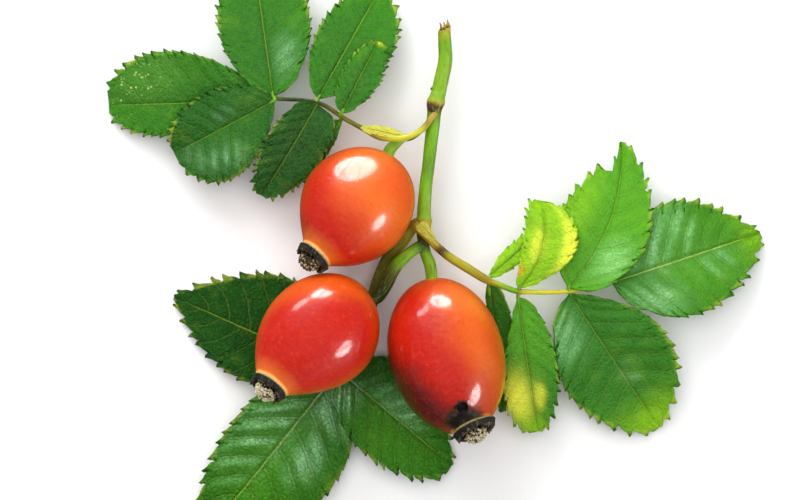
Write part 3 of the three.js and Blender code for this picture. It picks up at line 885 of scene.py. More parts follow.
def hip_axis_point(hip, y):
    return lay_on_hip(hip, np.array([[0.0, y, 0.0]]))[0]


def pedicel(name):
    hip = HIPS[name]
    end = -hip["half"] - SHOULDER_REACH
    colour = PEDICELS[name][-1][4]
    into = [(*hip_axis_point(hip, end - 0.2), SHOULDER, colour),
            (*hip_axis_point(hip, end + 0.2), SHOULDER + 0.12, colour)]
    if name != "right":     # its last station already lies on the hip's axis
        into.insert(0, (*hip_axis_point(hip, end - 1.4), SHOULDER - 0.03, colour))
    return stalk(PEDICELS[name] + into, sides=28)


pedicels = [pedicel(name) for name in PEDICELS]
print("made", len(pedicels), "pedicels")

# %% [markdown]
# At the upper node sit a bud, pressed into the axil, and the torn fibres of the old bark; below
# it, a small prickle leans down the stem. The bud is a ball drawn to a point and wrapped in
# scales. Prickle and fibres are thin tapered stalks.

# %% Bud, prickle and torn fibres
BUD_PLACE = (5.0, 22.8, 6.9)
BUD_LEAN = 0.4
BUD_BROWN = (64, 44, 20)


def make_bud():
    nothing_selected()
    bpy.ops.mesh.primitive_uv_sphere_add(segments=40, ring_count=24, radius=1)
    bud = bpy.context.object
    ball = points_of(bud)
    around, up = np.arctan2(ball[:, 1], ball[:, 0]), ball[:, 2]
    scales = 1 + 0.10 * np.sin(3 * around + 5 * up) * (1 - up ** 2)
    narrow = np.where(up > 0, 1 - 0.35 * up ** 2, 1)
    wide = scales * narrow
    ball = np.column_stack([ball[:, 0] * wide * 0.62, up, ball[:, 1] * wide * 0.58])
    lean = np.array(Matrix.Rotation(BUD_LEAN, 3, "Z"))
    move_points(bud, metres(ball @ lean.T + np.array(BUD_PLACE)))
    note(bud, "straight", ball)
    note(bud, "tint", np.tile(paint(*BUD_BROWN)[:3], (len(ball), 1)))
    edit(bud, face_out)
    smooth(bud)
    return bud


PRICKLE = [(5.75, 26.1, 5.9, 0.5, "lit"), (5.3, 25.95, 5.9, 0.3, "fresh"), (5.0, 25.8, 5.85, 0.13, "brown"),
           (4.85, 25.6, 5.8, 0.03, "brown")]
FIBRES = [((6.6, 35.2, 5.4), (6.35, 36.4, 5.7)), ((7.5, 35.6, 5.2), (7.6, 36.9, 5.3)),
          ((7.1, 35.3, 5.8), (7.0, 36.5, 6.0)), ((7.75, 35.6, 4.6), (7.7, 36.6, 4.6))]
prickle = stalk(PRICKLE, 14, 6)
fibres = []
for foot, tip in FIBRES:
    middle = tuple((a + b) / 2 + 0.08 for a, b in zip(foot, tip))
    fibres.append(stalk([(*foot, 0.24, "brown"), (*middle, 0.2, "tan"), (*tip, 0.08, "brown")], 10, 4))
stem = joined([main_stem, *pedicels, make_bud(), prickle, *fibres])
hand_over(stem, "stem_and_pedicels", [stem_bark], "stem")

# %% [markdown]
# A rose leaflet is an oval with a saw edge whose teeth point forward. Its midrib lies in a
# fold, side veins run from it to the margin, and the blade swells between them. A flat grid
# becomes the leaflet when its columns are spread over the teeth and every point is set to the
# blade's height; a solidify modifier then gives it its thickness. Points keep their flat place
# and their place between the veins, which is what the finish needs to draw the net of veins.

# %% The blade
BLADE_THICKNESS = 0.4
LOWEST_MIDDLE = 0.26
TEETH_START, TEETH_END = 0.12, 0.97
TOOTH_SHIFT = 0.22      # how unevenly the teeth are spaced
TOOTH_STEPS = (0.0, 0.14, 0.3, 0.46, 0.62, 0.74, 0.84, 0.92)
ROWS = 36
FOLD_ROUND = 0.5


def reach(s, half):
    """How far half a blade reaches at share s of its length; half is (most, belly, point)."""
    most, belly, point = half
    root = point * belly / (1 - belly)
    s = np.clip(s, 0, 1)
    return most * (s / belly) ** root * ((1 - s) / (1 - belly)) ** point


def tooth(share):
    """The height of one saw tooth: a rounded back that ends in a small spike, then a short drop."""
    back = 0.62 * np.sin(np.pi / 2 * np.clip(share / 0.6, 0, 1)) ** 0.8
    spike = 0.38 * np.clip((share - 0.6) / 0.24, 0, 1) ** 1.4
    drop = np.clip((1 - share) / 0.16, 0, 1) ** 1.5
    return np.where(share < 0.84, back + spike, drop)


def blade_frame(base, tip, roll):
    base, tip = np.array(base, float), np.array(tip, float)
    along = (tip - base) / np.linalg.norm(tip - base)
    across = np.cross([0, 0, 1.0], along)
    across /= np.linalg.norm(across)
    turn = Matrix.Rotation(math.radians(roll), 3, Vector(along))
    across = np.array(turn @ Vector(across))
    return base, np.linalg.norm(tip - base), along, across, np.cross(along, across)


def smooth_step(value, start, end):
    w = np.clip((value - start) / (end - start), 0, 1)
    return w * w * (3 - 2 * w)


print("a tooth is drawn with", len(TOOTH_STEPS), "columns")


# %% The flat of a blade
PLAIN_LEAFLET = dict(
    teeth=16, veins=8, saw=0.85, rib=0.5, relief=0.6, seed=1,
    roll=0, fold=9, arch=1, curl=0.6, wave=0.2, sweep=0,
)


def tooth_shift(leaf, number):
    return TOOTH_SHIFT * math.sin(2.1 * number + leaf["seed"])


def tooth_columns(leaf):
    """For each column of the grid its share of the blade, its share of a tooth and the tooth's number."""
    teeth, pitch = leaf["teeth"], tooth_pitch(leaf)
    columns = list(np.linspace(0, TEETH_START, 7)[:-1])
    shares, numbers = [0.0] * len(columns), [0] * len(columns)
    for i in range(teeth):
        first, last = (k + tooth_shift(leaf, k) * (0 < k < teeth) for k in (i, i + 1))
        columns += [TEETH_START + (first + (last - first) * step) * pitch for step in TOOTH_STEPS]
        shares += TOOTH_STEPS
        numbers += [i] * len(TOOTH_STEPS)
    columns += list(np.linspace(TEETH_END, 1, 4))
    shares += [0.0, 0.4, 0.8, 1.0]
    numbers += [teeth] * 4
    return np.array(columns), np.array(shares), np.array(numbers)


def tooth_pitch(leaf):
    return (TEETH_END - TEETH_START) / leaf["teeth"]


def flat_half(leaf, s, left):
    """The reach of the half that each point is on, before its teeth."""
    return np.where(left, reach(s, leaf["left"]), reach(s, leaf["right"]))


def toothed(leaf, y, s, share, number):
    """Each point's share of the length, its distance from the midrib in millimetres and its half's reach."""
    left = y > 0
    full = flat_half(leaf, s, left)
    if "step" in leaf:
        side, at_s, narrower = leaf["step"]
        narrowed = 1 - narrower * smooth_step(s, at_s - 0.015, at_s + 0.015)
        full = full * np.where(left == (side > 0), narrowed, 1)
    odd = np.sin(number * 2.4 + leaf["seed"] * 1.7 + np.where(left, 0, 1.9))
    depth = np.minimum(leaf["saw"], 0.34 * full) * (1 + 0.3 * odd)
    weight = smooth_step(np.abs(y), 0.74, 1.0)
    inside = smooth_step(s, TEETH_START - 0.02, TEETH_START + 0.03) * smooth_step(s, 1.0, 0.985)
    peak = tooth(share) * inside
    out = np.abs(y) * full + weight * depth * inside * (peak * 1.15 - 0.75)
    forward = 0.42 * np.clip((peak - 0.5) * 2, 0, 1) + np.where(left, 0, 0.3) * inside
    ahead = (leaf["saw"] > 0.1) * weight * tooth_pitch(leaf) * forward
    return np.clip(s + ahead, 0, 1), np.sign(y) * np.maximum(out, 0), full


print("a plain leaflet has", PLAIN_LEAFLET["teeth"], "teeth on a side")


# %% The rise of a blade
BUCKLE, SWELL, QUIVER = 0.22, 0.26, 0.02     # how far a blade bends, and swells between its veins
GROOVE_DEPTH, GROOVE_WIDTH = 0.16, 0.28


def blade_height(leaf, s, across_mm, t, full, left, length):
    """How far each point stands off the flat, and where it lies between the side veins."""
    bow = 4 * s * (1 - s)
    ripple = np.sin(14 * s + np.where(left, 0, 2.0))
    crease = math.tan(math.radians(leaf["fold"])) * (np.hypot(across_mm, FOLD_ROUND) - FOLD_ROUND)
    lift = leaf["arch"] * bow + crease + t * t * (leaf["wave"] * ripple - leaf["curl"] * bow)
    buckle = np.sin(s * length / 2.6 + across_mm / 3.0 + leaf["seed"])
    buckle = buckle * np.sin(across_mm / 2.4 - s * length / 5.0)
    size = min(1, leaf["left"][0] / 8)
    lift = lift + BUCKLE * size * buckle * smooth_step(np.abs(t), 0, 0.5)
    phase = leaf["veins"] * (s - 0.25 * np.abs(t) ** 1.25 * (1 - 0.35 * s)) + np.where(left, 0.0, 0.42) + 0.3
    swell = np.sin(np.pi * phase) ** 2
    belly = np.sin(np.pi * np.clip(np.abs(t), 0, 1)) ** 0.6 * smooth_step(full, 0.6, 2.5)
    lift = lift + SWELL * size * leaf["relief"] * (swell - 0.5) * belly
    lift = lift + QUIVER * np.sin(3.1 * s * length + 2 * across_mm) * np.abs(t)
    groove = np.exp(-(across_mm / GROOVE_WIDTH) ** 2) * smooth_step(full, 0.3, 1.0)
    return lift - GROOVE_DEPTH * min(1, 3 * leaf["rib"]) * groove, phase


def blade(given):
    """A leaflet from its base and tip, its two halves and whatever sets it apart from a plain one."""
    leaf = {**PLAIN_LEAFLET, **given}
    columns, shares, numbers = tooth_columns(leaf)
    nothing_selected()
    bpy.ops.mesh.primitive_grid_add(x_subdivisions=len(columns) - 1, y_subdivisions=ROWS, size=2)
    piece = bpy.context.object
    x, y, _ = points_of(piece).T
    left = y > 0
    column = np.rint((x + 1) / 2 * (len(columns) - 1)).astype(int)
    s, across_mm, full = toothed(leaf, y, columns[column], shares[column], numbers[column])
    t = np.clip(across_mm / np.maximum(flat_half(leaf, s, left), 0.2), -1.25, 1.25)
    base, length, along, across, normal = blade_frame(leaf["base"], leaf["tip"], leaf["roll"])
    lift, phase = blade_height(leaf, s, across_mm, t, full, left, length)
    aside = across_mm + leaf["sweep"] * (4 * s * (1 - s))
    points = base + np.outer(s * length, along) + np.outer(aside, across) + np.outer(lift, normal)
    points[:, 2] = np.maximum(points[:, 2], LOWEST_MIDDLE)
    move_points(piece, metres(points))
    note_blade(piece, leaf, s, t, across_mm, length, phase)
    edit(piece, merge_close, face_out)
    apply_modifier(piece, "SOLIDIFY", thickness=BLADE_THICKNESS * MM, offset=0.0, material_offset=1,
                   material_offset_rim=0)
    smooth(piece)
    return piece


def note_blade(piece, leaf, s, t, across_mm, length, phase):
    """Notes what the finish needs: the flat place, the veins, the green and the marks."""
    note(piece, "flat", np.column_stack([s * length, across_mm, np.full(len(s), leaf["seed"] * 7.0)]))
    note(piece, "veins", np.column_stack([phase, np.abs(t), smooth_step(s, 1.0, 0.8)]))
    note(piece, "tint", tints(leaf, s, t))
    gloss, speckles = spots(leaf.get("gloss"), s, t), spots(leaf.get("speckles"), s, t)
    note(piece, "marks", np.column_stack([np.full(len(s), leaf["rib"]), gloss, speckles]))


print("blades are", BLADE_THICKNESS, "mm thick")

# %% [markdown]
# Leaves on one shoot differ: old ones are deep green, young ones fresh, and some turn yellow in
# patches before they fall. Each leaflet names its green and its patches, which are soft ovals
# on the blade, and the mix is noted at its points.

# %% Greens
GREENS = {
    "deep": (30, 92, 8), "dark": (16, 60, 6), "leaf": (50, 122, 10), "fresh": (84, 160, 12),
    "lime": (142, 202, 10), "yellow": (246, 252, 70), "pale": (120, 176, 70), "amber": (216, 150, 30),
    "wing": (206, 204, 74), "sheath": (194, 182, 66),
}


def tints(leaf, s, t):
    colour = np.tile(paint(*GREENS[leaf.get("green", "leaf")])[:3], (len(s), 1))
    for at_s, at_t, wide_s, wide_t, green, strength in leaf.get("patches", ()):
        away = ((s - at_s) / wide_s) ** 2 + ((t - at_t) / wide_t) ** 2
        share = strength * np.exp(-away ** 1.3)[:, None]
        colour = colour * (1 - share) + np.array(paint(*GREENS[green])[:3]) * share
    return colour


def spots(places, s, t):
    """How far each point lies within soft ovals, given as (s, t, half-length, half-width)."""
    share = np.zeros(len(s))
    for at_s, at_t, wide_s, wide_t in places or ():
        share = np.maximum(share, np.exp(-(((s - at_s) / wide_s) ** 2 + ((t - at_t) / wide_t) ** 2) ** 1.2))
    return share


print("leaves have", len(GREENS), "greens")

# %% [markdown]
# The upper face of a blade has a waxy shine that comes and goes, a pale midrib and side veins,
# and a fine net of veins between them. The net is a cell pattern on the flat place, the side
# veins are sharp folds of the noted phase, and both also go into the bump. Beside the side veins
# and along the midrib the green is darkened as painted shade of their folds. A drawn image could
# show the same net, but it would have to be drawn for every leaflet. The lower face is duller
# and paler, with the veins standing out.

# %% The upper face
DARK_TONE_AND_SHADE = paint(4, 30, 4)
CLOUD_GREEN = paint(170, 210, 60)
VEIN_GREEN = paint(180, 214, 90)
MIDRIB_GREEN = paint(150, 192, 50)
RIM_YELLOW = paint(186, 206, 70)
LEAF_POLISH = 0.36
SPECKLE = paint(226, 232, 160)
NET_SIZE, FINE_NET_SIZE = 1.25, 2.9


def leaf_face(name, net, vein, depth, net_tone):
    """A face with so much of the net and of the side veins with their painted shade, so deep, and the net in
    its own tone.
    """
    finish, shader, start = new_finish(name)
    flat = start.read("flat")
    veins = start.read("veins")
    tint = start.read("tint", out=0)
    phase, out_share, before_tip = veins.axis("X"), veins.axis("Y"), veins.axis("Z")
    wobble = (flat.noise(0.8, 3) - 0.5) * 0.22
    from_vein = (start.math("FRACT", phase + wobble) - 0.5).size()
    side_vein = from_vein.step(0.43, 0.49) * (1 - out_share * 0.5)
    painted_shade_by_vein = from_vein.step(0.30, 0.45) * (1 - side_vein)
    off_midrib = flat.axis("Y").size()
    midrib = off_midrib.step(0.24, 0.08) * before_tip
    beside = off_midrib.step(0.9, 0.25) * (1 - midrib) * before_tip
    net_cells = flat.cells(NET_SIZE, "DISTANCE_TO_EDGE")
    fine_cells = flat.cells(FINE_NET_SIZE, "DISTANCE_TO_EDGE")
    net_line = net_cells.step(0.10, 0.02)
    cloud = flat.noise(0.28, 3, 0.6)
    grain = flat.noise(3.2, 3, 0.7)
    marks = start.read("marks")
    rib, shine, speckled = marks.axis("X"), marks.axis("Y"), marks.axis("Z")
    # One darker green serves the leaf's own dark clouds and grain, and the painted shade beside the veins
    # and the midrib.
    darker_tone_and_shade = tint.blend(DARK_TONE_AND_SHADE, 0.6)
    colour = tint.blend(tint.blend(CLOUD_GREEN, 0.4), (cloud - 0.5).step(0.0, 0.35) * 0.4)
    colour = colour.blend(darker_tone_and_shade, (0.5 - cloud).step(0.0, 0.3) * 0.45)
    # Painted shade beside each side vein and along the midrib, where the blade folds.
    colour = colour.blend(darker_tone_and_shade, painted_shade_by_vein * vein * 2)
    colour = colour.blend(darker_tone_and_shade, beside * start.math("MINIMUM", rib * 3, 1.0) * 0.35)
    colour = colour.blend(tint.blend(net_tone, 0.5), net_line * net * 0.75)
    colour = colour.blend(darker_tone_and_shade, grain.step(0.55, 0.35) * 0.28)
    colour = colour.blend(tint.blend(VEIN_GREEN, 0.6), side_vein * vein)
    colour = colour.blend(MIDRIB_GREEN, midrib * rib)
    rim = (out_share + (grain - 0.5) * 0.12).step(0.9, 1.02) * cloud.step(0.4, 0.6)
    colour = colour.blend(RIM_YELLOW, rim * 0.45)
    dots = flat.cells(1.6).step(0.34, 0.2) * flat.noise(0.9, 2).step(0.45, 0.55)
    colour = colour.blend(SPECKLE, dots * speckled * 0.8)
    connect(colour, shader, "Base Color")
    connect(0.5 + grain * 0.2, shader, "Roughness")
    crinkled = (net_cells.step(0.0, 0.14) * 0.6 + 0.4) * (grain.step(0.25, 0.7) * 0.7 + 0.3)
    crinkled = crinkled * (1 - painted_shade_by_vein * 0.55)
    clouded = shine * (cloud * 1.4 + 0.2)
    connect(start.math("MULTIPLY", clouded, crinkled, True), shader, "Coat Weight")
    wax(shader, LEAF_POLISH)
    height = net_cells.step(0.0, 0.3) * net + fine_cells.step(0.0, 0.25) * net * 0.5 + grain * 0.2
    height = height - side_vein * vein * 1.5 - midrib * 0.6
    bumped(shader, height, 1.0, depth)
    return finish


satin_face = leaf_face("leaf_satin", 0.22, 0.10, 0.26, paint(120, 180, 60))
# The quilted face draws its net dark: painted shade in the sunken net of veins.
quilted_face = leaf_face("leaf_quilted", 0.45, 0.18, 0.4, paint(6, 40, 8))
print("two upper faces:", satin_face.name, "and", quilted_face.name)


# %% The lower face
BACK_GREEN = paint(150, 178, 112)
BACK_NET = paint(186, 200, 140)
BACK_VEIN = paint(196, 206, 146)
BACK_MIDRIB = paint(200, 204, 140)
BACK_GRAIN = paint(60, 92, 40)


def leaf_back():
    finish, shader, start = new_finish("leaf_back")
    flat = start.read("flat")
    veins = start.read("veins")
    tint = start.read("tint", out=0)
    phase = veins.axis("X")
    side_vein = (start.math("FRACT", phase) - 0.5).size().step(0.42, 0.49)
    midrib = flat.axis("Y").size().step(0.4, 0.15)
    net_line = flat.cells(NET_SIZE, "DISTANCE_TO_EDGE").step(0.12, 0.02)
    grain = flat.noise(3.0, 3, 0.7)
    colour = tint.blend(BACK_GREEN, 0.55)
    colour = colour.blend(BACK_NET, net_line * 0.3).blend(BACK_VEIN, side_vein * 0.6)
    colour = colour.blend(BACK_MIDRIB, midrib * 0.8).blend(BACK_GRAIN, grain.step(0.5, 0.3) * 0.25)
    connect(colour, shader, "Base Color")
    connect(0.6 + grain * 0.2, shader, "Roughness")
    bumped(shader, net_line * 0.4 + side_vein + midrib + grain * 0.3, 0.8, 0.3)
    return finish


lower_face = leaf_back()
print("one lower face:", lower_face.name)

# %% [markdown]
# A compound leaf is a row of paired leaflets on one leaf stalk, the rachis, with one more at
# its end, and at its foot a stipule, a narrow wing on each side of the stalk. The three leaves
# are lists of leaflets with their own greens, and one builder grows any of them.

# %% The upper leaf
UPPER_LEAF = {
    "rachis": [
        (5.6, 21.8, 6.8, 0.56, "tan"), (5.1, 21.1, 7.1, 0.52, "tan"), (4.3, 20.0, 7.4, 0.5, "gold"),
        (3.2, 19.0, 7.6, 0.5, "yellow"), (1.6, 18.15, 7.8, 0.48, "yellow"),
        (-0.4, 17.8, 7.8, 0.52, "yellow"), (-3.2, 18.0, 7.6, 0.5, "bronze"),
        (-5.6, 19.2, 7.6, 0.42, "olive"), (-8.9, 21.0, 7.5, 0.36, "olive"),
        (-13.1, 23.5, 7.3, 0.33, "shade"), (-20.0, 24.2, 6.9, 0.3, "shade"),
    ],
    "leaflets": [
        dict(base=(-20.4, 24.1, 6.1), tip=(-46.9, 23.4, 0.7), left=(5.2, 0.66, 0.5),
             right=(8.5, 0.59, 0.55), roll=-8, seed=1, teeth=14, rib=0.3,
             speckles=[(0.82, -0.5, 0.16, 0.35), (0.95, 0.0, 0.08, 0.5)],
             green="leaf",
             patches=[(0.75, -0.5, 0.25, 0.5, "pale", 0.25), (0.3, 0.2, 0.3, 0.8, "deep", 0.6)]),
        dict(base=(-20.3, 24.6, 6.8), tip=(-23.6, 48.0, 3.5), left=(7.2, 0.5, 0.7),
             right=(7.6, 0.47, 0.65), seed=2, teeth=13, rib=0.3,
             gloss=[(0.25, -0.45, 0.13, 0.3)],
             green="leaf",
             patches=[(0.35, 0.2, 0.45, 0.9, "deep", 0.55)]),
        dict(base=(-20.1, 23.9, 7.3), tip=(-36.2, 15.6, 4.6), left=(7.9, 0.62, 0.48),
             right=(6.3, 0.48, 0.55), roll=-8, seed=3, teeth=13, rib=0.2, relief=0.35,
             gloss=[(0.66, 0.55, 0.2, 0.3), (0.45, -0.3, 0.1, 0.15), (0.88, 0.2, 0.12, 0.4)],
             green="deep",
             patches=[(0.5, 0.3, 0.4, 0.5, "leaf", 0.4)]),
        dict(base=(-13.1, 24.2, 7.0), tip=(-3.2, 41.9, 3.4), left=(5.4, 0.5, 0.6),
             right=(6.9, 0.55, 0.7), seed=4, teeth=12, rib=0.35, green="leaf",
             patches=[(0.3, 0.0, 0.35, 0.9, "deep", 0.4)]),
        dict(base=(-13.3, 23.3, 7.0), tip=(-22.2, 8.8, 4.3), left=(5.2, 0.36, 0.48),
             right=(4.3, 0.42, 0.5), roll=-12, seed=5, teeth=11, rib=0.3, green="deep",
             patches=[(0.45, 0.0, 0.6, 1.2, "dark", 0.65)]),
        dict(base=(-9.3, 21.9, 8.0), tip=(-3.5, 33.3, 7.1), left=(2.9, 0.45, 0.6),
             right=(3.3, 0.55, 0.5), teeth=10, rib=0.35, seed=6, veins=7, green="leaf", saw=0.7,
             patches=[(1.02, -0.2, 0.06, 1.0, "yellow", 0.7), (0.4, 0.0, 0.4, 0.9, "deep", 0.55)]),
        dict(base=(-9.5, 20.7, 5.9), tip=(-14.9, 11.5, 2.0), left=(0.8, 0.4, 0.6), right=(2.6, 0.5, 0.5),
             teeth=7, seed=7, veins=6, green="leaf", saw=0.5),
    ],
    "stipule": dict(base=(1.4, 17.8, 7.9), tip=(-6.3, 19.5, 7.9), left=(1.0, 0.42, 0.6),
                    right=(1.0, 0.5, 0.6), fold=-12),
}
print("the upper leaf has", len(UPPER_LEAF["leaflets"]), "leaflets")

# %% The right leaf
RIGHT_LEAF = {
    "rachis": [
        (2.3, 4.0, 7.3, 0.75, "bronze"), (3.5, 3.0, 7.8, 0.72, "gold"), (4.5, 2.0, 7.9, 0.7, "gold"),
        (5.5, 0.9, 7.85, 0.68, "tan"), (6.5, 0.0, 7.8, 0.68, "brown"), (7.9, -1.1, 7.6, 0.7, "gold"),
        (10.9, -3.0, 7.3, 0.72, "gold"), (13.5, -4.6, 7.15, 0.66, "bronze"),
        (14.4, -5.0, 7.05, 0.56, "gold"), (18.4, -6.5, 6.8, 0.45, "fresh"),
        (18.9, -6.6, 6.8, 0.5, "bronze"), (20.0, -6.7, 6.7, 0.4, "yellow"),
        (27.0, -6.6, 6.4, 0.36, "yellow"), (33.4, -5.2, 6.2, 0.31, "fresh"),
    ],
    "leaflets": [
        dict(base=(33.9, -5.2, 6.0), tip=(57.9, 2.7, 0.7), left=(9.4, 0.45, 1.0), right=(9.2, 0.43, 0.8),
             seed=11, teeth=11, rib=0.8,
             gloss=[(0.3, 0.55, 0.16, 0.6), (0.52, 0.5, 0.1, 0.5), (0.68, -0.25, 0.12, 0.3),
                    (0.22, -0.6, 0.16, 0.35)],
             green="leaf",
             patches=[(1.0, 0.0, 0.16, 1.5, "lime", 0.7), (0.55, 0.0, 0.4, 1.2, "fresh", 0.5),
                      (0.15, -0.4, 0.2, 0.5, "deep", 0.3)]),
        dict(base=(26.9, -6.1, 6.6), tip=(35.4, 17.3, 4.6), left=(7.8, 0.42, 1.3),
             right=(6.8, 0.37, 0.68), sweep=-2.6, seed=12, teeth=10, rib=0.2, step=(1, 0.79, 0.55),
             gloss=[(0.25, -0.5, 0.14, 0.4)],
             green="fresh",
             patches=[(0.45, 0.8, 0.25, 0.4, "lime", 0.6)]),
        dict(base=(27.2, -7.0, 5.6), tip=(41.7, -28.6, 0.7), left=(9.5, 0.52, 0.85),
             right=(9.0, 0.46, 0.72), roll=6, seed=13, teeth=11, rib=0.2,
             gloss=[(0.2, -0.65, 0.14, 0.4), (0.62, 0.1, 0.1, 0.12)],
             green="leaf",
             patches=[(0.97, 0.0, 0.17, 1.5, "lime", 0.9), (0.4, 0.0, 0.4, 1.0, "deep", 0.4)]),
        dict(base=(19.0, -6.1, 7.2), tip=(22.4, 7.8, 7.6), left=(3.3, 0.6, 0.4), right=(5.5, 0.64, 0.42),
             sweep=-2.1, teeth=8, rib=0.3, seed=14, veins=7, green="lime", saw=0.8,
             patches=[(0.52, 0.28, 0.2, 0.35, "yellow", 0.7), (0.6, -0.8, 0.35, 0.25, "yellow", 0.9),
                      (0.2, 0.8, 0.08, 0.3, "amber", 0.7)]),
        dict(base=(18.9, -7.5, 6.6), tip=(22.1, -29.1, 2.9), left=(4.7, 0.5, 0.55),
             right=(4.4, 0.66, 0.5), roll=5, seed=15, teeth=10, saw=0.7, rib=0.4, green="leaf",
             patches=[(0.25, 0.0, 0.35, 1.2, "fresh", 0.75), (0.74, -0.55, 0.2, 0.6, "yellow", 0.9),
                      (0.74, 0.3, 0.1, 0.25, "yellow", 0.7), (1.0, 0.0, 0.12, 1.2, "lime", 0.8)]),
        dict(base=(14.4, -4.2, 6.4), tip=(23.2, 3.5, 5.8), left=(1.6, 0.5, 0.6), right=(1.6, 0.45, 0.6),
             teeth=6, rib=0.5, seed=16, veins=6, saw=0.5, green="lime"),
        dict(base=(14.2, -5.6, 5.8), tip=(16.3, -26.0, 0.6), left=(2.8, 0.35, 0.6),
             right=(1.2, 0.4, 0.7), roll=14, arch=-1.8, teeth=9, rib=0.3, seed=17, veins=7, saw=0.5,
             green="leaf"),
    ],
    "stipule": dict(base=(6.2, 0.6, 8.3), tip=(3.1, 4.2, 8.7), left=(0.95, 0.84, 0.2),
                    right=(0.85, 0.84, 0.2), fold=-24, green="sheath"),
}
print("the right leaf has", len(RIGHT_LEAF["leaflets"]), "leaflets")

# %% The lower leaf
LOWER_LEAF = {
    "rachis": [
        (3.0, 4.4, 5.5, 0.92, "moss"), (1.9, 3.5, 5.1, 1.0, "moss"), (0.3, 1.3, 4.4, 1.03, "moss"),
        (-1.45, -0.6, 3.8, 1.06, "olive"), (-3.2, -4.3, 3.2, 1.06, "olive"),
        (-4.4, -8.2, 2.9, 1.0, "dusk_shade"), (-5.9, -12.8, 2.7, 0.8, "olive"),
        (-8.0, -17.3, 2.6, 0.7, "olive"), (-9.7, -19.2, 2.5, 0.55, "olive"),
    ],
    "leaflets": [
        dict(base=(-10.2, -19.2, 1.7), tip=(-36.4, -7.6, 0.4), left=(7.8, 0.45, 0.95),
             right=(10.4, 0.4, 1.05), roll=4, fold=0, arch=0, curl=0.2, wave=0.1, seed=21, teeth=12,
             rib=0.4, green="deep",
             patches=[(0.45, 0.0, 0.6, 1.4, "dark", 0.55)]),
        dict(base=(-10.4, -20.0, 2.2), tip=(-30.4, -44.8, 0.4), left=(10.9, 0.45, 0.75),
             right=(8.3, 0.45, 0.55), roll=-5, seed=22, teeth=12, rib=0.7, relief=1.1,
             gloss=[(0.42, -0.5, 0.3, 0.5), (0.12, 0.4, 0.12, 0.5), (0.42, 0.45, 0.13, 0.22)],
             green="leaf",
             patches=[(0.6, -0.1, 0.4, 0.8, "fresh", 0.5)]),
        dict(base=(-9.8, -19.5, 2.8), tip=(8.3, -34.7, 1.0), left=(8.0, 0.38, 0.9),
             right=(7.6, 0.47, 0.52), roll=-9, fold=5, arch=0.3, seed=23, teeth=10, rib=0.4, relief=1.2,
             gloss=[(0.12, -0.5, 0.1, 0.5), (0.5, 0.3, 0.2, 0.25)],
             green="leaf",
             patches=[(0.15, 0.3, 0.16, 0.8, "dark", 0.5), (0.6, -0.2, 0.4, 0.9, "fresh", 0.4)]),
    ],
}
print("the lower leaf has", len(LOWER_LEAF["leaflets"]), "leaflets")


# %% Growing a leaf
INTO_BLADE = 1.8        # how far a leaflet's own stalk runs on under its blade


def leaflet_stalk(rachis, leaf):
    """The short stalk from the nearest place on the rachis into the blade."""
    places, _ = route([s[:4] for s in rachis], np.linspace(0, 1, 161))
    foot = np.array(leaf["base"])
    root = places[np.argmin(np.linalg.norm(places[:, :3] - foot, axis=1)), :3]
    ahead = np.array(leaf["tip"]) - foot
    inside = foot + ahead / np.linalg.norm(ahead) * INTO_BLADE - [0, 0, 0.1]
    return stalk([(*root, 0.36, "fresh"), (*foot, 0.33, "fresh"), (*inside, 0.2, "fresh")], 12, 4)


WING = dict(fold=0, green="wing", teeth=4, arch=0, curl=0, wave=0, saw=0.08, veins=3, rib=0.02, seed=30)


def grow(name, leaf, face):
    node = "leaf_" + name
    rachis = stalk(leaf["rachis"], 20, 8)
    stalks = [leaflet_stalk(leaf["rachis"], each) for each in leaf["leaflets"]]
    hand_over(joined([rachis, *stalks]), name + "_leaf_stalk", [leaf_stalk_bark], node)
    for number, each in enumerate(leaf["leaflets"], 1):
        hand_over(blade(each), f"{name}_leaflet_{number}", [face, lower_face], node)
    if "stipule" in leaf:
        hand_over(blade({**WING, **leaf["stipule"]}), name + "_stipule", [face, lower_face], node)


grow("upper", UPPER_LEAF, satin_face)
grow("right", RIGHT_LEAF, satin_face)
grow("lower", LOWER_LEAF, quilted_face)

# %% [markdown]
# The table is a plain pale sheet that no skin reflects. Rough paint is all that it needs.

# %% The table
TABLE_WHITE = paint(253, 253, 253)
TABLE_SIZE = 6
TABLE_TOP = -0.05 * MM     # a hair below the sprig, so that the two don't touch
nothing_selected()
bpy.ops.mesh.primitive_plane_add(size=TABLE_SIZE, location=(0, 0, TABLE_TOP))
table_top = bpy.context.object
bpy.ops.object.transform_apply(location=True)
table_top.name = "table_top"
table_finish, table_shader, _ = new_finish("table_white")
table_shader.inputs["Base Color"].default_value = TABLE_WHITE
table_shader.inputs["Roughness"].default_value = 0.9
table_top.data.materials.append(table_finish)
table_top.visible_glossy = False
print("the table is", TABLE_SIZE, "m wide")

# %% [markdown]
# Light on glossy fruit is of two kinds, and each softbox here gives one of them, so that the two
# can be set apart. A window only shines: it is a bright shape in the skin. A fill only lights: it
# brightens the colours and shows in no reflection. A low key window beyond the stem's cut end
# gives each skin its long highlight, with a larger one for the upper hip, which lies nearer to
# it, and a small one opposite gives the second glint. The blades have a shine of their own, a
# broad one from above in the cool green of their wax. One panel lights the stem and the stalks
# alone from the side, and one the two hips on the left.

# %% The lights
SPRIG_MIDDLE = Vector((0, 0, 0.01))


def softbox(name, toward, distance, size, power):
    """An elliptical area light that looks at the middle of the sprig."""
    nothing_selected()
    toward = Vector(toward).normalized()
    bpy.ops.object.light_add(type="AREA", location=SPRIG_MIDDLE + toward * distance)
    light = bpy.context.object
    light.name = name
    light.rotation_euler = toward.to_track_quat("Z", "Y").to_euler()
    light.data.shape = "ELLIPSE"
    light.data.size, light.data.size_y = size
    light.data.energy = power
    light.visible_camera = False
    return light


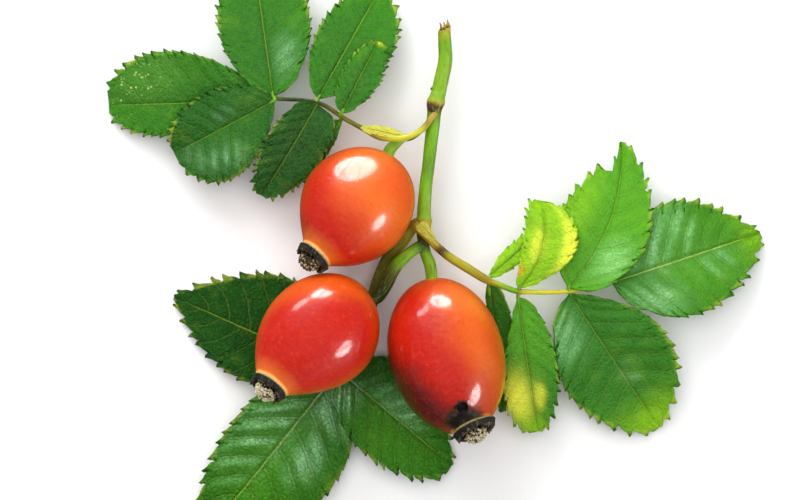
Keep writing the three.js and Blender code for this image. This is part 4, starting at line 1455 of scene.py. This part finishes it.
def lights_only(light, name, wanted):
    """A light that falls on some of the pieces alone."""
    group = bpy.data.collections.new(name)
    for piece in bpy.data.objects:
        if wanted(piece.name):
            group.objects.link(piece)
    light.light_linking.receiver_collection = group


def is_blade(name):
    return "leaflet" in name or "stipule" in name


def is_stalk(name):
    return "stem" in name or "stalk" in name


def not_blade(name):
    return not is_blade(name)


def upper_fruit(name):
    return name == "upper_hip"


def lower_pieces(name):
    return not_blade(name) and not upper_fruit(name)


def left_fruit(name):
    return name in ("upper_hip", "left_hip")


LIGHTS = {   # direction, distance, size, power, kind, pieces
    "key_softbox": ((-0.06, 0.95, 0.11), 0.36, (0.2, 0.14), 1.35, "window", lower_pieces),
    "key_upper_window": ((-0.10, 0.95, 0.13), 0.36, (0.42, 0.42), 6.8, "window", upper_fruit),
    "key_side_panel": ((-0.52, 0.80, 0.19), 0.36, (0.15, 0.08), 0.26, "window", lower_pieces),
    "glint_window": ((0.73, -0.47, 0.55), 0.40, (0.21, 0.14), 1.15, "window", not_blade),
    "key_fill": ((-0.35, 0.85, 0.45), 0.60, (0.5, 0.4), 3.0, "fill", None),
    "side_fill": ((0.8, -0.2, 0.4), 0.60, (0.5, 0.4), 0.9, "fill", None),
    "stem_side_panel": ((0.85, 0.1, 0.5), 0.50, (0.3, 0.2), 0.9, "both", is_stalk),
    "hip_side_panel": ((0.6, -0.7, 0.4), 0.50, (0.4, 0.3), 0.9, "fill", left_fruit),
    "overhead_panel": ((-0.10, 0.20, 0.97), 1.60, (2.4, 2.4), 24.0, "fill", None),
    "leaf_sheen": ((0.05, 0.10, 0.99), 1.30, (1.5, 1.5), 58.0, "window", is_blade),
}
for name, (toward, distance, size, power, kind, wanted) in LIGHTS.items():
    light = softbox(name, toward, distance, size, power)
    light.visible_diffuse = kind != "window"
    light.visible_glossy = kind != "fill"
    if wanted:
        lights_only(light, name + "_pieces", wanted)
    print(name, "is a", kind, "of", power, "watts")
bpy.data.objects["leaf_sheen"].data.color = (0.72, 1.0, 0.82)   # wax on a green leaf shines a cool green

# %% [markdown]
# The room is a dim white all round, and below the level of the table a warm tone, which is the
# bounce that a skin would see of its neighbours.

# %% The room
WARM_BOUNCE = (1.2, 0.4, 0.2, 1.0)
ROOM_STRENGTH = 0.25

world = bpy.data.worlds.new("pale_room")
bpy.context.scene.world = world
world.use_nodes = True
room = world.node_tree.nodes["Background"]
outlook = Wire(world.node_tree, room.outputs[0]).node("TexCoord", out=0)
below = outlook.axis("Z").step(0.04, -0.04)
connect(colour_of(outlook, WHITE).blend(WARM_BOUNCE, below), room, "Color")
room.inputs["Strength"].default_value = ROOM_STRENGTH
bpy.context.scene.view_settings.view_transform = "Standard"
print("the room's strength is", ROOM_STRENGTH)

# %% [markdown]
# The camera looks straight down on the sprig through a long lens, so that near and far pieces
# keep their sizes, as they do to an eye some way off.

# %% The camera
CAMERA_PLACE = (-5.5 * MM, -1.26 * MM, 717 * MM)
LENS, SENSOR = 200, 36
nothing_selected()
bpy.ops.object.camera_add(location=CAMERA_PLACE, rotation=(0, 0, 0))
camera = bpy.context.object
camera.data.lens = LENS
camera.data.sensor_width = SENSOR
camera.data.clip_start = 0.01
bpy.context.scene.camera = camera
print("the camera hangs", CAMERA_PLACE[2], "m above the table")

# %% [markdown]
